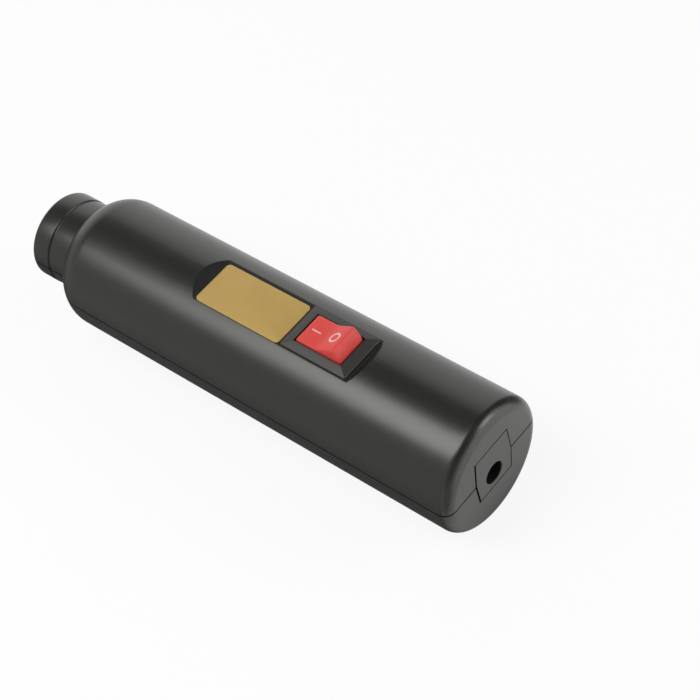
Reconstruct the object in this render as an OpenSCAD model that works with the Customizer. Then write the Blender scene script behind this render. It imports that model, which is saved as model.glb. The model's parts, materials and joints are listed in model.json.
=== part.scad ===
// Egg candling lamp: a hand lamp in two plastic half shells, with a light mouth at the nose,
// a snap-in rocker switch on a flat beside its rating plate, and a low-voltage inlet in the tail.
// The lamp lies along X, nose at -X, tail at +X, and rests on Z = 0.

/* [Body] */
// overall length, nose to tail
body_l = 148; // [120:1:180]
// barrel diameter
body_d = 37; // [35:0.5:44]
// shell wall thickness
wall = 2; // [1.8:0.1:2.4]
// thickness of the tail wall
tail_wall = 2.5; // [2:0.1:4]
// round of the tail edge
tail_round = 3.2; // [2.5:0.1:6]
// height of the split between the half shells above the lamp's axis
split_rise = 1; // [-2:0.5:2]
// height of the shadow line along the split
seam_h = 0.35; // [0.2:0.05:0.6]
// depth of the shadow line
seam_depth = 0.4; // [0.2:0.05:0.8]

/* [Nose] */
// length of the lip and the neck together, up to the shoulder
nose_l = 13.5; // [12:0.5:20]
// neck diameter
neck_d = 24.8; // [24.6:0.1:27]
// lip diameter
lip_d = 25; // [24.8:0.1:28]
// lip length
lip_l = 6.8; // [4:0.1:8]
// round of the lip's edges
lip_round = 1; // [0.5:0.1:1.5]
// width of the groove behind the lip
groove_w = 0.6; // [0.3:0.1:1]
// depth of the groove below the neck
groove_depth = 0.3; // [0.2:0.1:0.8]
// round of the shoulder
shoulder_round = 9; // [8.5:0.5:12]
// bore of the light mouth
mouth_d = 20.4; // [19:0.1:20.6]

/* [Flat for the plate and the switch] */
// depth of the flat below the top of the barrel
flat_drop = 1.6; // [1.5:0.1:2.2]
// distance from the tail to the rear end of the flat
flat_from_tail = 37; // [34:0.5:46]
// length of the ramp at the front end of the flat
front_ramp_l = 3.2; // [2.4:0.2:6]
// length of the ramp at the rear end of the flat
rear_ramp_l = 2.2; // [1.6:0.2:6]

/* [Rating plate] */
// plate length
plate_l = 28; // [20:0.2:28]
// plate width
plate_w = 13.8; // [10:0.2:14]
// plate thickness
plate_t = 0.3; // [0.2:0.05:0.5]
// corner round of the plate
plate_round = 1.2; // [0.5:0.1:3]
// set of the plate to the side of the lamp's middle
plate_aside = -0.5; // [-1:0.1:1]
// distance from the front end of the flat to the plate
plate_setback = 0.6; // [0.3:0.1:1]
// gap between the plate and the bezel
plate_gap = 0.5; // [0.5:0.1:3]

/* [Rocker switch] */
// bezel length
bezel_l = 21; // [20.6:0.1:21.4]
// bezel width
bezel_w = 14.4; // [14.2:0.1:15]
// height of the bezel's outer edge
bezel_edge_h = 0.6; // [0.5:0.1:0.9]
// height of the bezel at the rocker
bezel_h = 1.4; // [1.3:0.1:1.8]
// distance from the rear end of the flat to the bezel
bezel_setback = 0.7; // [0.3:0.1:1]
// length of the switch body behind the panel
switch_l = 18.8; // [18.6:0.1:19.2]
// width of the switch body
switch_w = 12.8; // [12.6:0.1:13.2]
// depth of the switch body below the flat
switch_depth = 12.7; // [12:0.1:13]
// wall of the switch body's floor
switch_floor = 1.2; // [1:0.1:1.4]
// rocker width
rocker_w = 9.2; // [9:0.1:9.6]
// radius of the rocker's ends about its pivot
rocker_r = 7.3; // [7:0.1:7.4]
// slope of the two halves of the rocker's top
rocker_slope = 14.5; // [12:0.5:16]
// height of the dip in the rocker's top above its pivot
rocker_dip = 2.4; // [2.2:0.1:2.8]
// depth of the rocker's skirt below its pivot
rocker_skirt = 2.6; // [2.2:0.1:3]
// tilt of the rocker to each side
rocker_tilt = 14.5; // [10:0.5:16]
// depth of the pivot below the bezel's top
pivot_depth = 1.8; // [1.6:0.1:2]
// radius of the rocker's trunnions
trunnion_r = 1; // [0.8:0.1:1.2]
// tilt of the contact bridge to each side
bridge_tilt = 8; // [6:0.5:9]

/* [Inlet] */
// hole for the barrel plug
inlet_d = 6.2; // [5.8:0.1:6.6]
// drop of the inlet below the lamp's axis
inlet_drop = 1.5; // [0:0.1:3]
// height of the tail plate above the split
tail_plate_up = 7.8; // [6:0.1:9]
// depth of the tail plate below the split
tail_plate_down = 7.3; // [6:0.1:9]
// width of the tail plate at its top
tail_plate_w = 12.9; // [12:0.1:14]
// width of the tail plate at the split
tail_plate_mid_w = 14.2; // [13:0.1:16]
// gap around the tail plate
tail_plate_gap = 0.2; // [0.1:0.05:0.3]
// length of the jack's block
jack_l = 12; // [11:0.5:14]
// height and width of the jack's block
jack_w = 9; // [8.8:0.1:10]
// radius of the jack's centre pin
jack_pin_r = 1; // [0.8:0.05:1.25]

/* [Light] */
// depth of the lens behind the nose
lens_depth = 5.2; // [5:0.1:7]
// thickness of the lens at its rim
lens_t = 2; // [1.5:0.1:2.5]
// depth of the reflector
reflector_l = 8; // [7:0.5:9]
// thickness of the light's board
board_t = 1.6; // [1.2:0.1:2]
// thickness of the heat sink's flange
sink_flange_t = 3; // [2.5:0.1:4]
// length of the heat sink's fins
sink_fins_l = 7.2; // [5:0.1:8]

/* [Fastening] */
// radius of the case screws' thread
screw_r = 1.5; // [1.2:0.1:1.6]
// length of the case screws
screw_l = 18; // [14:1:20]
// distance of the screws from the barrel's side
screw_aside = 8; // [7.5:0.1:9]
// distance from the nose to the front screws
screw_front = 36; // [34:0.5:40]
// distance from the tail to the rear screws
screw_rear = 22; // [20:0.5:24]
// height of the screw heads' seats above the belly
screw_seat = 7.5; // [6.5:0.5:9]

/* [Wiring] */
// radius of the insulated wires
wire_r = 0.7; // [0.5:0.05:0.8]
// length of the dropping resistor's body
resistor_l = 8; // [6:0.5:9]
// radius of the dropping resistor's body
resistor_r = 1.6; // [1:0.1:1.8]

/* [Hidden] */
$fn = 64;

// clearances, overruns and small shared sizes
overrun = 1;
snug = 0.1;
running = 0.05;
free_gap = 0.3;
share_half = 1 / 2;

// the body's main places
body_r = body_d / 2;
neck_r = neck_d / 2;
lip_r = lip_d / 2;
mouth_r = mouth_d / 2;
bore_r = body_r - wall;
axis_z = body_r;
split_z = axis_z + split_rise;
nose_x = -body_l / 2;
tail_x = body_l / 2;
neck_x = nose_x + nose_l;
shoulder_drop = body_r - neck_r;
shoulder_run = sqrt(pow(shoulder_round, 2) - pow(shoulder_round - shoulder_drop, 2));
barrel_x = neck_x + shoulder_run - shoulder_round;
lip_rear_round = 0.3;

// the light's stack, from the nose backwards
lens_x = nose_x + lens_depth;
rib_t = 1.4;
rib_h = 1.4;
rib_r = mouth_r - rib_h;
rib_x = lens_x + lens_t;
optic_x = rib_x + rib_t;
reflector_flange_t = 1.2;
reflector_t = 0.8;
board_x = optic_x + reflector_l;
sink_x = board_x + board_t;
keeper_x = sink_x + sink_flange_t + snug;
sleeve_t = 1.6;
sleeve_r = mouth_r + sleeve_t;
sleeve_end = keeper_x + rib_t;
ring_setback = 0.2;
ring_t = 2;
ring_inner_r = mouth_r - ring_t;
ring_bevel = 1.2;
lens_crown = 1.2;
led_r = 3.2;
led_t = 1.6;
dome_r = 2.5;
screw_inset = 2.2;
screw_pitch_r = mouth_r - screw_inset;
wire_inset = 2.6;
wire_pitch_r = mouth_r - wire_inset;
wire_hole_r = wire_r + free_gap;
bead_t = 0.5;
bead_rim = 0.6;
bead_r = wire_hole_r + bead_rim;
led_screw_r = 1;
led_screw_head_r = 1.8;
led_screw_head_t = 1.2;
sink_core_r = 3.4;
fin_r = 6.3;
fin_t = 1.2;
fin_count = 3;

// the flat, its plate and the switch
flat_h = body_r - flat_drop;
flat_z = axis_z + flat_h;
flat_rear_x = tail_x - flat_from_tail;
bezel_x = flat_rear_x - bezel_setback - bezel_l;
plate_x = bezel_x - plate_gap - plate_l;
flat_front_x = plate_x - plate_setback;
recess_top = body_r + 2 * overrun;
switch_x = bezel_x + bezel_l / 2;
cutout_l = switch_l + 2 * snug;
cutout_w = switch_w + 2 * snug;
well_l = 2 * (rocker_r + free_gap);
well_w = rocker_w + 2 * free_gap;
bezel_lip = 0.3;
pivot_z = flat_z + bezel_h - pivot_depth;
trunnion_l = 0.8;
trunnion_end = well_w / 2 + trunnion_l;
trunnion_gap = 0.1;
latch_t = 0.9;
latch_w = 5;
latch_h = 3;
post_r = 2.1;
post_end = 6.5;
post_bore_r = 1.45;
post_bore_top = 1;
plunger_r = 1.3;
plunger_top = 4.4;
plunger_tip = 8.9;
spring_r = 1.05;
spring_wire_r = 0.18;
spring_curls = 4;
spring_rings = 8;
spring_sides = 6;
floor_z = flat_z - switch_depth + switch_floor;
bridge_t = 0.5;
bridge_w = 3.6;
bridge_l = 12.6;
bridge_top_z = pivot_z - plunger_tip - free_gap;
hub_r = 1.1;
bead_bar_r = 0.6;
bridge_axis_z = bridge_top_z - hub_r;
blade_t = 0.8;
blade_w = 4;
blade_l = 7;
blade_z = flat_z - switch_depth - blade_l;
contact_pitch = 7;
contact_x = switch_x + contact_pitch;
contact_l = 3;
contact_h = 0.25;

// the tail plate and the jack
tail_inner_x = tail_x - tail_wall;
inlet_r = inlet_d / 2;
inlet_z = axis_z - inlet_drop;
// the plate's disc reaches past the corners of its window
disc_cover = 1.5;
disc_r = norm([tail_plate_w / 2, split_rise + tail_plate_up]) + disc_cover;
disc_t = 1.5;
disc_x = tail_inner_x - disc_t;
disc_hold = 1;
tail_rib_r = disc_r - disc_hold;
tail_rib_t = 1.2;
tail_rib_x = disc_x - tail_plate_gap - tail_rib_t;
collar_t = 1.2;
collar_l = 5;
jack_x = disc_x - jack_l;
jack_back = 2;
jack_bore_r = inlet_r + free_gap;
pin_front = 1.2;
pin_head_r = 1.8;
pin_head_t = 0.4;
tab_l = 4;
tab_w = 2.2;
tab_t = 0.4;
leaf_w = 2.4;
leaf_t = 0.35;
leaf_z = inlet_z - jack_w / 2 + snug;
leaf_front = 1.5;
leaf_bump_r = 0.6;
leaf_bump_depth = 4;
leaf_bump_x = disc_x - leaf_bump_depth;
leaf_bump_drop = 3.3;
leaf_bump_z = inlet_z - leaf_bump_drop;
leaf_slot_h = 2;

// the case screws
boss_upper_r = 3.3;
boss_lower_r = 4.2;
screw_head_r = 2.7;
screw_head_t = 2;
screw_hole_gap = 0.2;
screw_hole_r = screw_r + screw_hole_gap;
counterbore_r = screw_head_r + free_gap;
pilot_l = 9;
cross_l = 3.2;
cross_w = 0.8;
cross_depth = 1.1;
screw_y = body_r - screw_aside;
screw_places = [for (x = [nose_x + screw_front, tail_x - screw_rear], y = [-screw_y, screw_y]) [x, y]];

// the dropping resistor
sink_end = sink_x + sink_flange_t + sink_fins_l;
switch_front = switch_x - switch_l / 2;
resistor_share = 0.445;
resistor_x = sink_end + (switch_front - sink_end) * resistor_share;
resistor_drop = 2;
resistor_z = axis_z - resistor_drop;
lead_r = 0.35;
lead_l = 3;
resistor_front = resistor_x - resistor_l / 2 - lead_l;
resistor_rear = resistor_x + resistor_l / 2 + lead_l;

// The wires' routes: both ends lie on what they are soldered to. Each point between is chosen by hand,
// as a share of the way along X, a share of the bore's radius aside, and a height.
function way(x0, x1, along_share, aside_share, z) = [x0 + (x1 - x0) * along_share, bore_r * aside_share, z];
// a height between the belly's inside and z
function over_belly(z, up_share) = wall + (z - wall) * up_share;
// a height between two others
function between(z0, z1, up_share) = z0 + (z1 - z0) * up_share;

wire_sides = 8;
wire_steps = 3;
// a wire leaves and meets its ends by one short straight step
end_step = 2;
pin_tail_x = jack_x - pin_head_t - tab_l;
leaf_tail_x = jack_x - tab_l;
leaf_mid_z = leaf_z + leaf_t / 2;
foot_z = blade_z - end_step;
lamp_z = axis_z + wire_pitch_r;
return_z = axis_z - wire_pitch_r;

feed_ends = [[pin_tail_x, 0, inlet_z], [contact_x, 0, blade_z]];
feed_run = [for (p = [[0.22, 0, inlet_z], [0.41, 0.06, over_belly(inlet_z, 0.87)],
                      [0.65, 0.12, over_belly(foot_z, 0.77)], [0.85, 0.06, over_belly(foot_z, 0.6)],
                      [0.98, 0, over_belly(foot_z, 0.77)]])
    way(pin_tail_x, contact_x, p[0], p[1], p[2])];

switched_ends = [[switch_x, 0, blade_z], [resistor_rear, 0, resistor_z]];
switched_run = [for (p = [[0.02, over_belly(foot_z, 0.77)], [0.16, over_belly(foot_z, 0.6)],
                          [0.37, over_belly(foot_z, 0.77)], [0.6, over_belly(resistor_z, 0.9)],
                          [0.81, resistor_z]])
    way(switch_x, resistor_rear, p[0], 0, p[1])];

lamp_ends = [[resistor_front, 0, resistor_z], [board_x, 0, lamp_z]];
lamp_run = [for (p = [[0.2, 0.05], [0.39, 0.26], [0.58, 0.68], [0.78, 0.95], [0.97, 1]])
    way(resistor_front, sink_end, p[0], 0, between(resistor_z, lamp_z, p[1]))];

return_ends = [[board_x, 0, return_z], [leaf_tail_x, 0, leaf_mid_z]];
return_run = [for (p = [[0.01, 0, return_z], [0.08, 0.06, over_belly(return_z, 0.79)],
                        [0.2, 0.18, over_belly(return_z, 0.5)], [0.34, 0.24, over_belly(return_z, 0.4)],
                        [0.5, 0.24, over_belly(return_z, 0.34)], [0.66, 0.24, over_belly(return_z, 0.34)],
                        [0.8, 0.24, over_belly(leaf_mid_z, 0.37)], [0.89, 0.18, over_belly(leaf_mid_z, 0.56)],
                        [0.94, 0.06, over_belly(leaf_mid_z, 0.84)], [0.97, 0, over_belly(leaf_mid_z, 0.97)]])
    way(sink_end, leaf_tail_x, p[0], p[1], p[2])];

// the plunger's spring, on its own axis below the rocker's pivot
spring_top = -post_bore_top - spring_wire_r - snug;
spring_low = -plunger_top + spring_wire_r + snug;
spring_pitch = (spring_top - spring_low) / spring_curls;
spring_route = [for (k = [0 : spring_curls * spring_rings]) let (a = 360 * k / spring_rings)
    [spring_r * cos(a), spring_r * sin(a), spring_low + spring_pitch * k / spring_rings]];
// the least gap between one curl and the next, measured on the route's points
spring_gap = min([for (i = [0 : len(spring_route) - 1 - spring_rings], k = [spring_rings / 2 : spring_rings])
    norm(spring_route[i + k] - spring_route[i])]) - 2 * spring_wire_r;
echo(spring_gap = spring_gap);

// Functions for tubes swept along a route

function unit(v) = v / norm(v);
function dot(a, b) = a * b;
// smooth curve through the route's points
function spline(p0, p1, p2, p3, t) =
    (2 * p1 + (p2 - p0) * t + (2 * p0 - 5 * p1 + 4 * p2 - p3) * t * t
     + (3 * p1 - p0 - 3 * p2 + p3) * t * t * t) / 2;
function at(p, i) = p[max(0, min(len(p) - 1, i))];
function smooth(p, n) = concat(
    [for (i = [0 : len(p) - 2], k = [0 : n - 1]) spline(at(p, i - 1), p[i], p[i + 1], at(p, i + 2), k / n)],
    [p[len(p) - 1]]);
function tangent(p, i) = unit(at(p, i + 1) - at(p, i - 1));
function side_of(t) = unit(cross(t, abs(t[1]) < 0.8 ? [0, 1, 0] : [1, 0, 0]));
// the side direction carried along the route without twist
function carried(p, i, s) = unit(s - dot(s, tangent(p, i)) * tangent(p, i));
function sides_along(p, i = 0, s = undef, out = []) =
    i == len(p) ? out
    : let (n = i == 0 ? side_of(tangent(p, 0)) : carried(p, i, s)) sides_along(p, i + 1, n, concat(out, [n]));

module tube_along(p, r, sides) {
    ns = sides_along(p);
    points = [for (i = [0 : len(p) - 1], k = [0 : sides - 1])
        let (t = tangent(p, i), n = ns[i], b = cross(t, n), a = 360 * k / sides)
        p[i] + r * (cos(a) * n + sin(a) * b)];
    last = (len(p) - 1) * sides;
    walls = [for (i = [0 : len(p) - 2], k = [0 : sides - 1])
        let (a = i * sides + k, b = i * sides + (k + 1) % sides)
        each [[a, a + sides, b + sides], [a, b + sides, b]]];
    ends = [for (k = [1 : sides - 2]) each [[0, k, k + 1], [last, last + k + 1, last + k]]];
    polyhedron(points, concat(walls, ends), convexity = 4);
}

// Shared shapes

// turns a section about the lamp's axis: the section's first value is the radius, its second is X
module turned() {
    translate([0, 0, axis_z]) rotate([0, 90, 0]) rotate_extrude($fn = 128) children();
}

// a section that reaches from the axis to r, between x0 and x1, with its two outer corners rounded
module block_section(r, x0, x1, round0, round1) {
    difference() {
        translate([0, x0]) square([r, x1 - x0]);
        corner_cut(r, x0, round0, 0);
        corner_cut(r, x1, round1, 1);
    }
}

module corner_cut(r, x, round, far) {
    translate([r - round, x]) mirror([0, far]) difference() {
        translate([0, -overrun]) square([round + overrun, round + overrun]);
        translate([0, round]) circle(round);
    }
}

module band_section(r0, r1, x0, x1) {
    translate([r0, x0]) square([r1 - r0, x1 - x0]);
}

// the outside of the lamp, drawn in by inset
module outside_section(inset = 0) {
    lip_end = nose_x + lip_l - groove_w;
    block_section(body_r - inset, barrel_x + inset, tail_x - inset,
                  shoulder_round - inset, tail_round - inset);
    band_section(0, neck_r - inset, nose_x + lip_l, barrel_x + shoulder_round);
    band_section(0, neck_r - groove_depth - inset, lip_end - lip_round, nose_x + lip_l + overrun);
    block_section(lip_r - inset, nose_x + inset, lip_end, lip_round, lip_rear_round);
}

// the hollow: light mouth, seats for the light's parts, barrel room and the tail plate's groove
module hollow_section() {
    // the tail plate's disc needs room beside the inner round of the tail
    inner_round = min(tail_round - wall, bore_r - disc_r);
    band_section(0, mouth_r, nose_x - overrun, rib_x);
    band_section(0, rib_r, nose_x, sleeve_end + overrun);
    band_section(0, mouth_r, optic_x, keeper_x);
    difference() {
        block_section(bore_r, barrel_x + wall, tail_inner_x, shoulder_round - wall, inner_round);
        band_section(0, sleeve_r, barrel_x, sleeve_end);
        band_section(tail_rib_r, body_r, tail_rib_x, tail_rib_x + tail_rib_t);
    }
}

module shell_round(inset = 0) {
    turned() difference() {
        outside_section(inset);
        hollow_section();
    }
}

// all that lies between two heights
module layer(z0, z1) {
    translate([-body_l, -body_d, z0]) cube([2 * body_l, 2 * body_d, z1 - z0]);
}

// the cut for the flat and its ramps, lowered by drop
module flat_cut(drop = 0) {
    rise = recess_top - flat_h;
    front_run = rise * front_ramp_l / flat_drop;
    rear_run = rise * rear_ramp_l / flat_drop;
    translate([0, 0, axis_z - drop]) rotate([90, 0, 0]) linear_extrude(2 * body_d, center = true)
        polygon([[flat_front_x - drop, flat_h], [flat_rear_x + drop, flat_h],
                 [flat_rear_x + drop + rear_run, recess_top], [flat_front_x - drop - front_run, recess_top]]);
}

module boss(place, r, z0, z1) {
    intersection() {
        turned() outside_section(wall * share_half);
        translate([place[0], place[1], z0]) cylinder(r = r, h = z1 - z0);
    }
}

// the outline of the tail plate in the tail face, grown by gap, drawn in Y and Z
module tail_outline(gap = 0) {
    half_top = tail_plate_w / 2 + gap;
    half_mid = tail_plate_mid_w / 2 + gap;
    top = split_z + tail_plate_up + gap;
    low = split_z - tail_plate_down - gap;
    polygon([[-half_top, top], [half_top, top], [half_mid, split_z],
             [half_top, low], [-half_top, low], [-half_mid, split_z]]);
}

// stretches a drawing in Y and Z from x0 to x1
module along_x(x0, x1) {
    translate([x0, 0, 0]) rotate([90, 0, 90]) linear_extrude(x1 - x0) children();
}

module rod_x(x0, x1, r, y = 0, z = axis_z) {
    translate([x0, y, z]) rotate([0, 90, 0]) cylinder(r = r, h = x1 - x0);
}

module rod_y(half, r) {
    rotate([90, 0, 0]) cylinder(r = r, h = 2 * half, center = true);
}

module box(x0, x1, w, z0, z1) {
    translate([x0, -w / 2, z0]) cube([x1 - x0, w, z1 - z0]);
}

module cross_slot() {
    for (a = [0, 90]) rotate(a) translate([-cross_l / 2, -cross_w / 2, -overrun])
        cube([cross_l, cross_w, overrun + cross_depth]);
}

// The case

module upper_shell() color("#3c3c3b") {
    difference() {
        union() {
            intersection() {
                union() {
                    shell_round();
                    intersection() {
                        turned() outside_section(wall * share_half);
                        flat_cut(wall);
                    }
                }
                layer(split_z, axis_z + body_d);
            }
            for (p = screw_places) boss(p, boss_upper_r, split_z, axis_z + body_r);
        }
        flat_cut();
        box(switch_x - cutout_l / 2, switch_x + cutout_l / 2, cutout_w,
            flat_z - wall - overrun, flat_z + overrun);
        along_x(tail_inner_x - overrun, tail_x + overrun) tail_outline(tail_plate_gap);
        for (p = screw_places) translate([p[0], p[1], split_z - overrun])
            cylinder(r = screw_r + running, h = pilot_l + overrun);
    }
}

module lower_shell() color("#3c3c3b") {
    difference() {
        union() {
            intersection() {
                shell_round();
                layer(-body_r, split_z - seam_h);
            }
            intersection() {
                shell_round(seam_depth);
                layer(split_z - seam_h - seam_depth, split_z);
            }
            for (p = screw_places) boss(p, boss_lower_r, 0, split_z);
        }
        along_x(tail_inner_x - overrun, tail_x + overrun) tail_outline(tail_plate_gap);
        for (p = screw_places) translate([p[0], p[1], -overrun]) {
            cylinder(r = screw_hole_r, h = split_z + 2 * overrun);
            cylinder(r = counterbore_r, h = screw_seat + overrun);
        }
    }
}

module case_screws() color("#b9bcc0") {
    for (p = screw_places) translate([p[0], p[1], screw_seat]) {
        cylinder(r = screw_r, h = screw_l);
        difference() {
            translate([0, 0, -screw_head_t]) cylinder(r = screw_head_r, h = screw_head_t);
            translate([0, 0, -screw_head_t]) cross_slot();
        }
    }
}

// The light

module egg_ring() color("#1c1c1c") {
    turned() difference() {
        block_section(mouth_r - snug, nose_x + ring_setback, lens_x, ring_bevel * share_half, 0);
        band_section(0, ring_inner_r, nose_x, lens_x + overrun);
        polygon([[0, nose_x], [ring_inner_r + ring_bevel, nose_x + ring_setback],
                 [ring_inner_r, nose_x + ring_setback + ring_bevel],
                 [0, nose_x + ring_setback + ring_bevel]]);
    }
}

module lens() color("#dfe9ee", 0.5) {
    crown_r = ring_inner_r - free_gap;
    ball_r = (pow(crown_r, 2) + pow(lens_crown, 2)) / (2 * lens_crown);
    rod_x(lens_x, rib_x, mouth_r - snug);
    intersection() {
        translate([lens_x - lens_crown + ball_r, 0, axis_z]) sphere(ball_r, $fn = 96);
        rod_x(lens_x - 2 * lens_crown, lens_x + lens_t * share_half, crown_r);
    }
}

module reflector() color("#d8dadc") {
    steps = 8;
    rim_r = rib_r - free_gap;
    throat_r = led_r + free_gap;
    depth = reflector_l - snug;
    // the bowl is a parabola from its rim to its throat
    bowl = [for (k = [0 : steps]) let (u = k / steps)
        [rim_r + (throat_r - rim_r) * u, depth * (1 - pow(1 - u, 2))]];
    back = [for (k = [steps : -1 : 1]) bowl[k] + [reflector_t, 0]];
    flange = [[mouth_r - snug, reflector_flange_t], [mouth_r - snug, 0]];
    turned() translate([0, optic_x]) polygon(concat(bowl, back, flange));
}

module led_dome() color("#f4f1d8", 0.7) {
    intersection() {
        translate([board_x - led_t, 0, axis_z]) sphere(dome_r);
        rod_x(board_x - led_t - dome_r, board_x - led_t, dome_r + overrun);
    }
}

module led_base() color("#f2f0e6") {
    rod_x(board_x - led_t, board_x, led_r);
}

module board_holes(r_screw) {
    for (s = [-1, 1]) {
        rod_x(board_x - overrun, keeper_x + overrun, r_screw, y = s * screw_pitch_r);
        rod_x(board_x - overrun, keeper_x + overrun, wire_hole_r, z = axis_z + s * wire_pitch_r);
    }
}

module led_board() color("#e9e9e4") {
    difference() {
        rod_x(board_x, sink_x, mouth_r - snug);
        board_holes(led_screw_r + running);
    }
}

module led_screws() color("#b9bcc0") {
    for (s = [-1, 1]) {
        rod_x(board_x, sink_x + sink_flange_t, led_screw_r, y = s * screw_pitch_r);
        difference() {
            rod_x(board_x - led_screw_head_t, board_x, led_screw_head_r, y = s * screw_pitch_r);
            translate([board_x - led_screw_head_t, s * screw_pitch_r, axis_z]) rotate([0, 90, 0])
                scale(led_screw_head_r / screw_head_r) cross_slot();
        }
    }
}

module solder_beads() color("#c9ccce") {
    for (s = [-1, 1]) rod_x(board_x - bead_t, board_x, bead_r, z = axis_z + s * wire_pitch_r);
}

module heat_sink() color("#b4b8bb") {
    pitch = (sink_fins_l - fin_t) / fin_count;
    fins_x = sink_x + sink_flange_t;
    difference() {
        union() {
            rod_x(sink_x, fins_x, mouth_r - snug);
            rod_x(fins_x, fins_x + sink_fins_l, sink_core_r);
            for (k = [1 : fin_count]) rod_x(fins_x + k * pitch, fins_x + k * pitch + fin_t, fin_r);
        }
        board_holes(led_screw_r + running);
    }
}

// The plate and the switch

module rating_plate() color("#c0a05a") {
    translate([plate_x + plate_l / 2, plate_aside, flat_z]) linear_extrude(plate_t) {
        square([plate_l - 2 * plate_round, plate_w], center = true);
        square([plate_l, plate_w - 2 * plate_round], center = true);
        for (sx = [-1, 1], sy = [-1, 1])
            translate([sx * (plate_l / 2 - plate_round), sy * (plate_w / 2 - plate_round)])
                circle(plate_round);
    }
}

// one pair of the bezel's four slopes, seen from the side
module bezel_slopes(outer, inner) {
    polygon([[-outer / 2, 0], [outer / 2, 0], [outer / 2, bezel_edge_h], [inner / 2, bezel_h],
             [-inner / 2, bezel_h], [-outer / 2, bezel_edge_h]]);
}

module bezel() {
    translate([switch_x, 0, flat_z]) intersection() {
        rotate([90, 0, 0]) linear_extrude(2 * bezel_w, center = true)
            bezel_slopes(bezel_l, well_l + 2 * bezel_lip);
        rotate([90, 0, 90]) linear_extrude(2 * bezel_l, center = true)
            bezel_slopes(bezel_w, well_w + 2 * bezel_lip);
    }
}

module latches() {
    top = flat_z - wall - snug;
    for (s = [-1, 1]) translate([switch_x + s * switch_l / 2, 0, top]) mirror([s < 0 ? 1 : 0, 0, 0])
        rotate([90, 0, 0]) linear_extrude(latch_w, center = true)
            polygon([[-snug, 0], [latch_t, 0], [0, -latch_h], [-snug, -latch_h]]);
}

module switch_housing() color("#3a403c") {
    difference() {
        union() {
            bezel();
            box(switch_front, switch_x + switch_l / 2, switch_w,
                flat_z - switch_depth, flat_z + bezel_edge_h);
            latches();
        }
        box(switch_x - well_l / 2, switch_x + well_l / 2, well_w, floor_z, flat_z + bezel_h + overrun);
        translate([switch_x, 0, pivot_z]) rod_y(trunnion_end + trunnion_gap, trunnion_r + running);
        for (x = [switch_x, contact_x])
            box(x - blade_t / 2 - running, x + blade_t / 2 + running, blade_w + 2 * running,
                flat_z - switch_depth - overrun, floor_z + overrun);
    }
}

// everything that tilts with the rocker, at the tilt of the photograph: front half down
module rocking() {
    translate([switch_x, 0, pivot_z]) rotate([0, -rocker_tilt, 0]) children();
}

module rocker_side() {
    rise = rocker_r * tan(rocker_slope);
    intersection() {
        circle(rocker_r, $fn = 128);
        polygon([[-rocker_r, -rocker_skirt], [rocker_r, -rocker_skirt], [rocker_r, rocker_dip + rise],
                 [0, rocker_dip], [-rocker_r, rocker_dip + rise]]);
    }
}

module switch_rocker() color("#e0524e") {
    rocking() difference() {
        union() {
            rotate([90, 0, 0]) linear_extrude(rocker_w, center = true) rocker_side();
            rod_y(trunnion_end, trunnion_r);
            translate([0, 0, -post_end]) cylinder(r = post_r, h = post_end);
        }
        translate([0, 0, -post_end - overrun])
            cylinder(r = post_bore_r, h = post_end + overrun - post_bore_top);
    }
}

module switch_plunger() color("#e8e6dc") {
    rocking() {
        translate([0, 0, plunger_r - plunger_tip]) {
            sphere(plunger_r);
            cylinder(r = plunger_r, h = plunger_tip - plunger_r - plunger_top);
        }
    }
}

module plunger_spring() color("#b9bcc0") {
    rocking() tube_along(spring_route, spring_wire_r, spring_sides);
}

// the brass bridge that rocks on the middle terminal, tilted towards the closed contact
module contact_bridge() color("#c9a64c") {
    hub_z = bridge_top_z - bridge_axis_z;
    translate([switch_x, 0, bridge_axis_z]) rotate([0, bridge_tilt, 0]) difference() {
        union() {
            box(-bridge_l / 2, bridge_l / 2, bridge_w, hub_z - bridge_t, hub_z);
            intersection() {
                rod_y(bridge_w / 2, hub_r);
                box(-hub_r, hub_r, bridge_w, 0, hub_r);
            }
        }
        rod_y(bridge_w, bead_bar_r + running);
    }
}

module blade(x, top) {
    box(x - blade_t / 2, x + blade_t / 2, blade_w, blade_z, top);
}

module pivot_terminal() color("#c9a64c") {
    blade(switch_x, bridge_axis_z);
    translate([switch_x, 0, bridge_axis_z]) rod_y(blade_w / 2, bead_bar_r);
}

module end_terminal() color("#c9a64c") {
    blade(contact_x, floor_z);
    box(contact_x - contact_l + blade_t / 2, contact_x + blade_t / 2, blade_w, floor_z, floor_z + contact_h);
}

// The inlet

module tail_plate() color("#3c3c3b") {
    outer = jack_w + 2 * (collar_t + snug);
    inner = jack_w + 2 * snug;
    difference() {
        union() {
            along_x(tail_inner_x - disc_t * share_half, tail_x) tail_outline();
            rod_x(disc_x, tail_inner_x, disc_r);
            box(disc_x - collar_l, disc_x + disc_t * share_half, outer,
                inlet_z - outer / 2, inlet_z + outer / 2);
        }
        box(disc_x - collar_l - overrun, disc_x, inner, inlet_z - inner / 2, inlet_z + inner / 2);
        rod_x(disc_x - overrun, tail_x + overrun, inlet_r, z = inlet_z);
    }
}

module jack_block() color("#1d1d1d") {
    half = jack_w / 2;
    difference() {
        box(jack_x, disc_x, jack_w, inlet_z - half, inlet_z + half);
        rod_x(jack_x + jack_back, disc_x + overrun, jack_bore_r, z = inlet_z);
        rod_x(jack_x - overrun, jack_x + jack_back + overrun, jack_pin_r + running, z = inlet_z);
        box(jack_x - overrun, disc_x - leaf_front + snug, leaf_w + 2 * snug,
            inlet_z - half - overrun, inlet_z - half + leaf_slot_h);
    }
}

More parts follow.
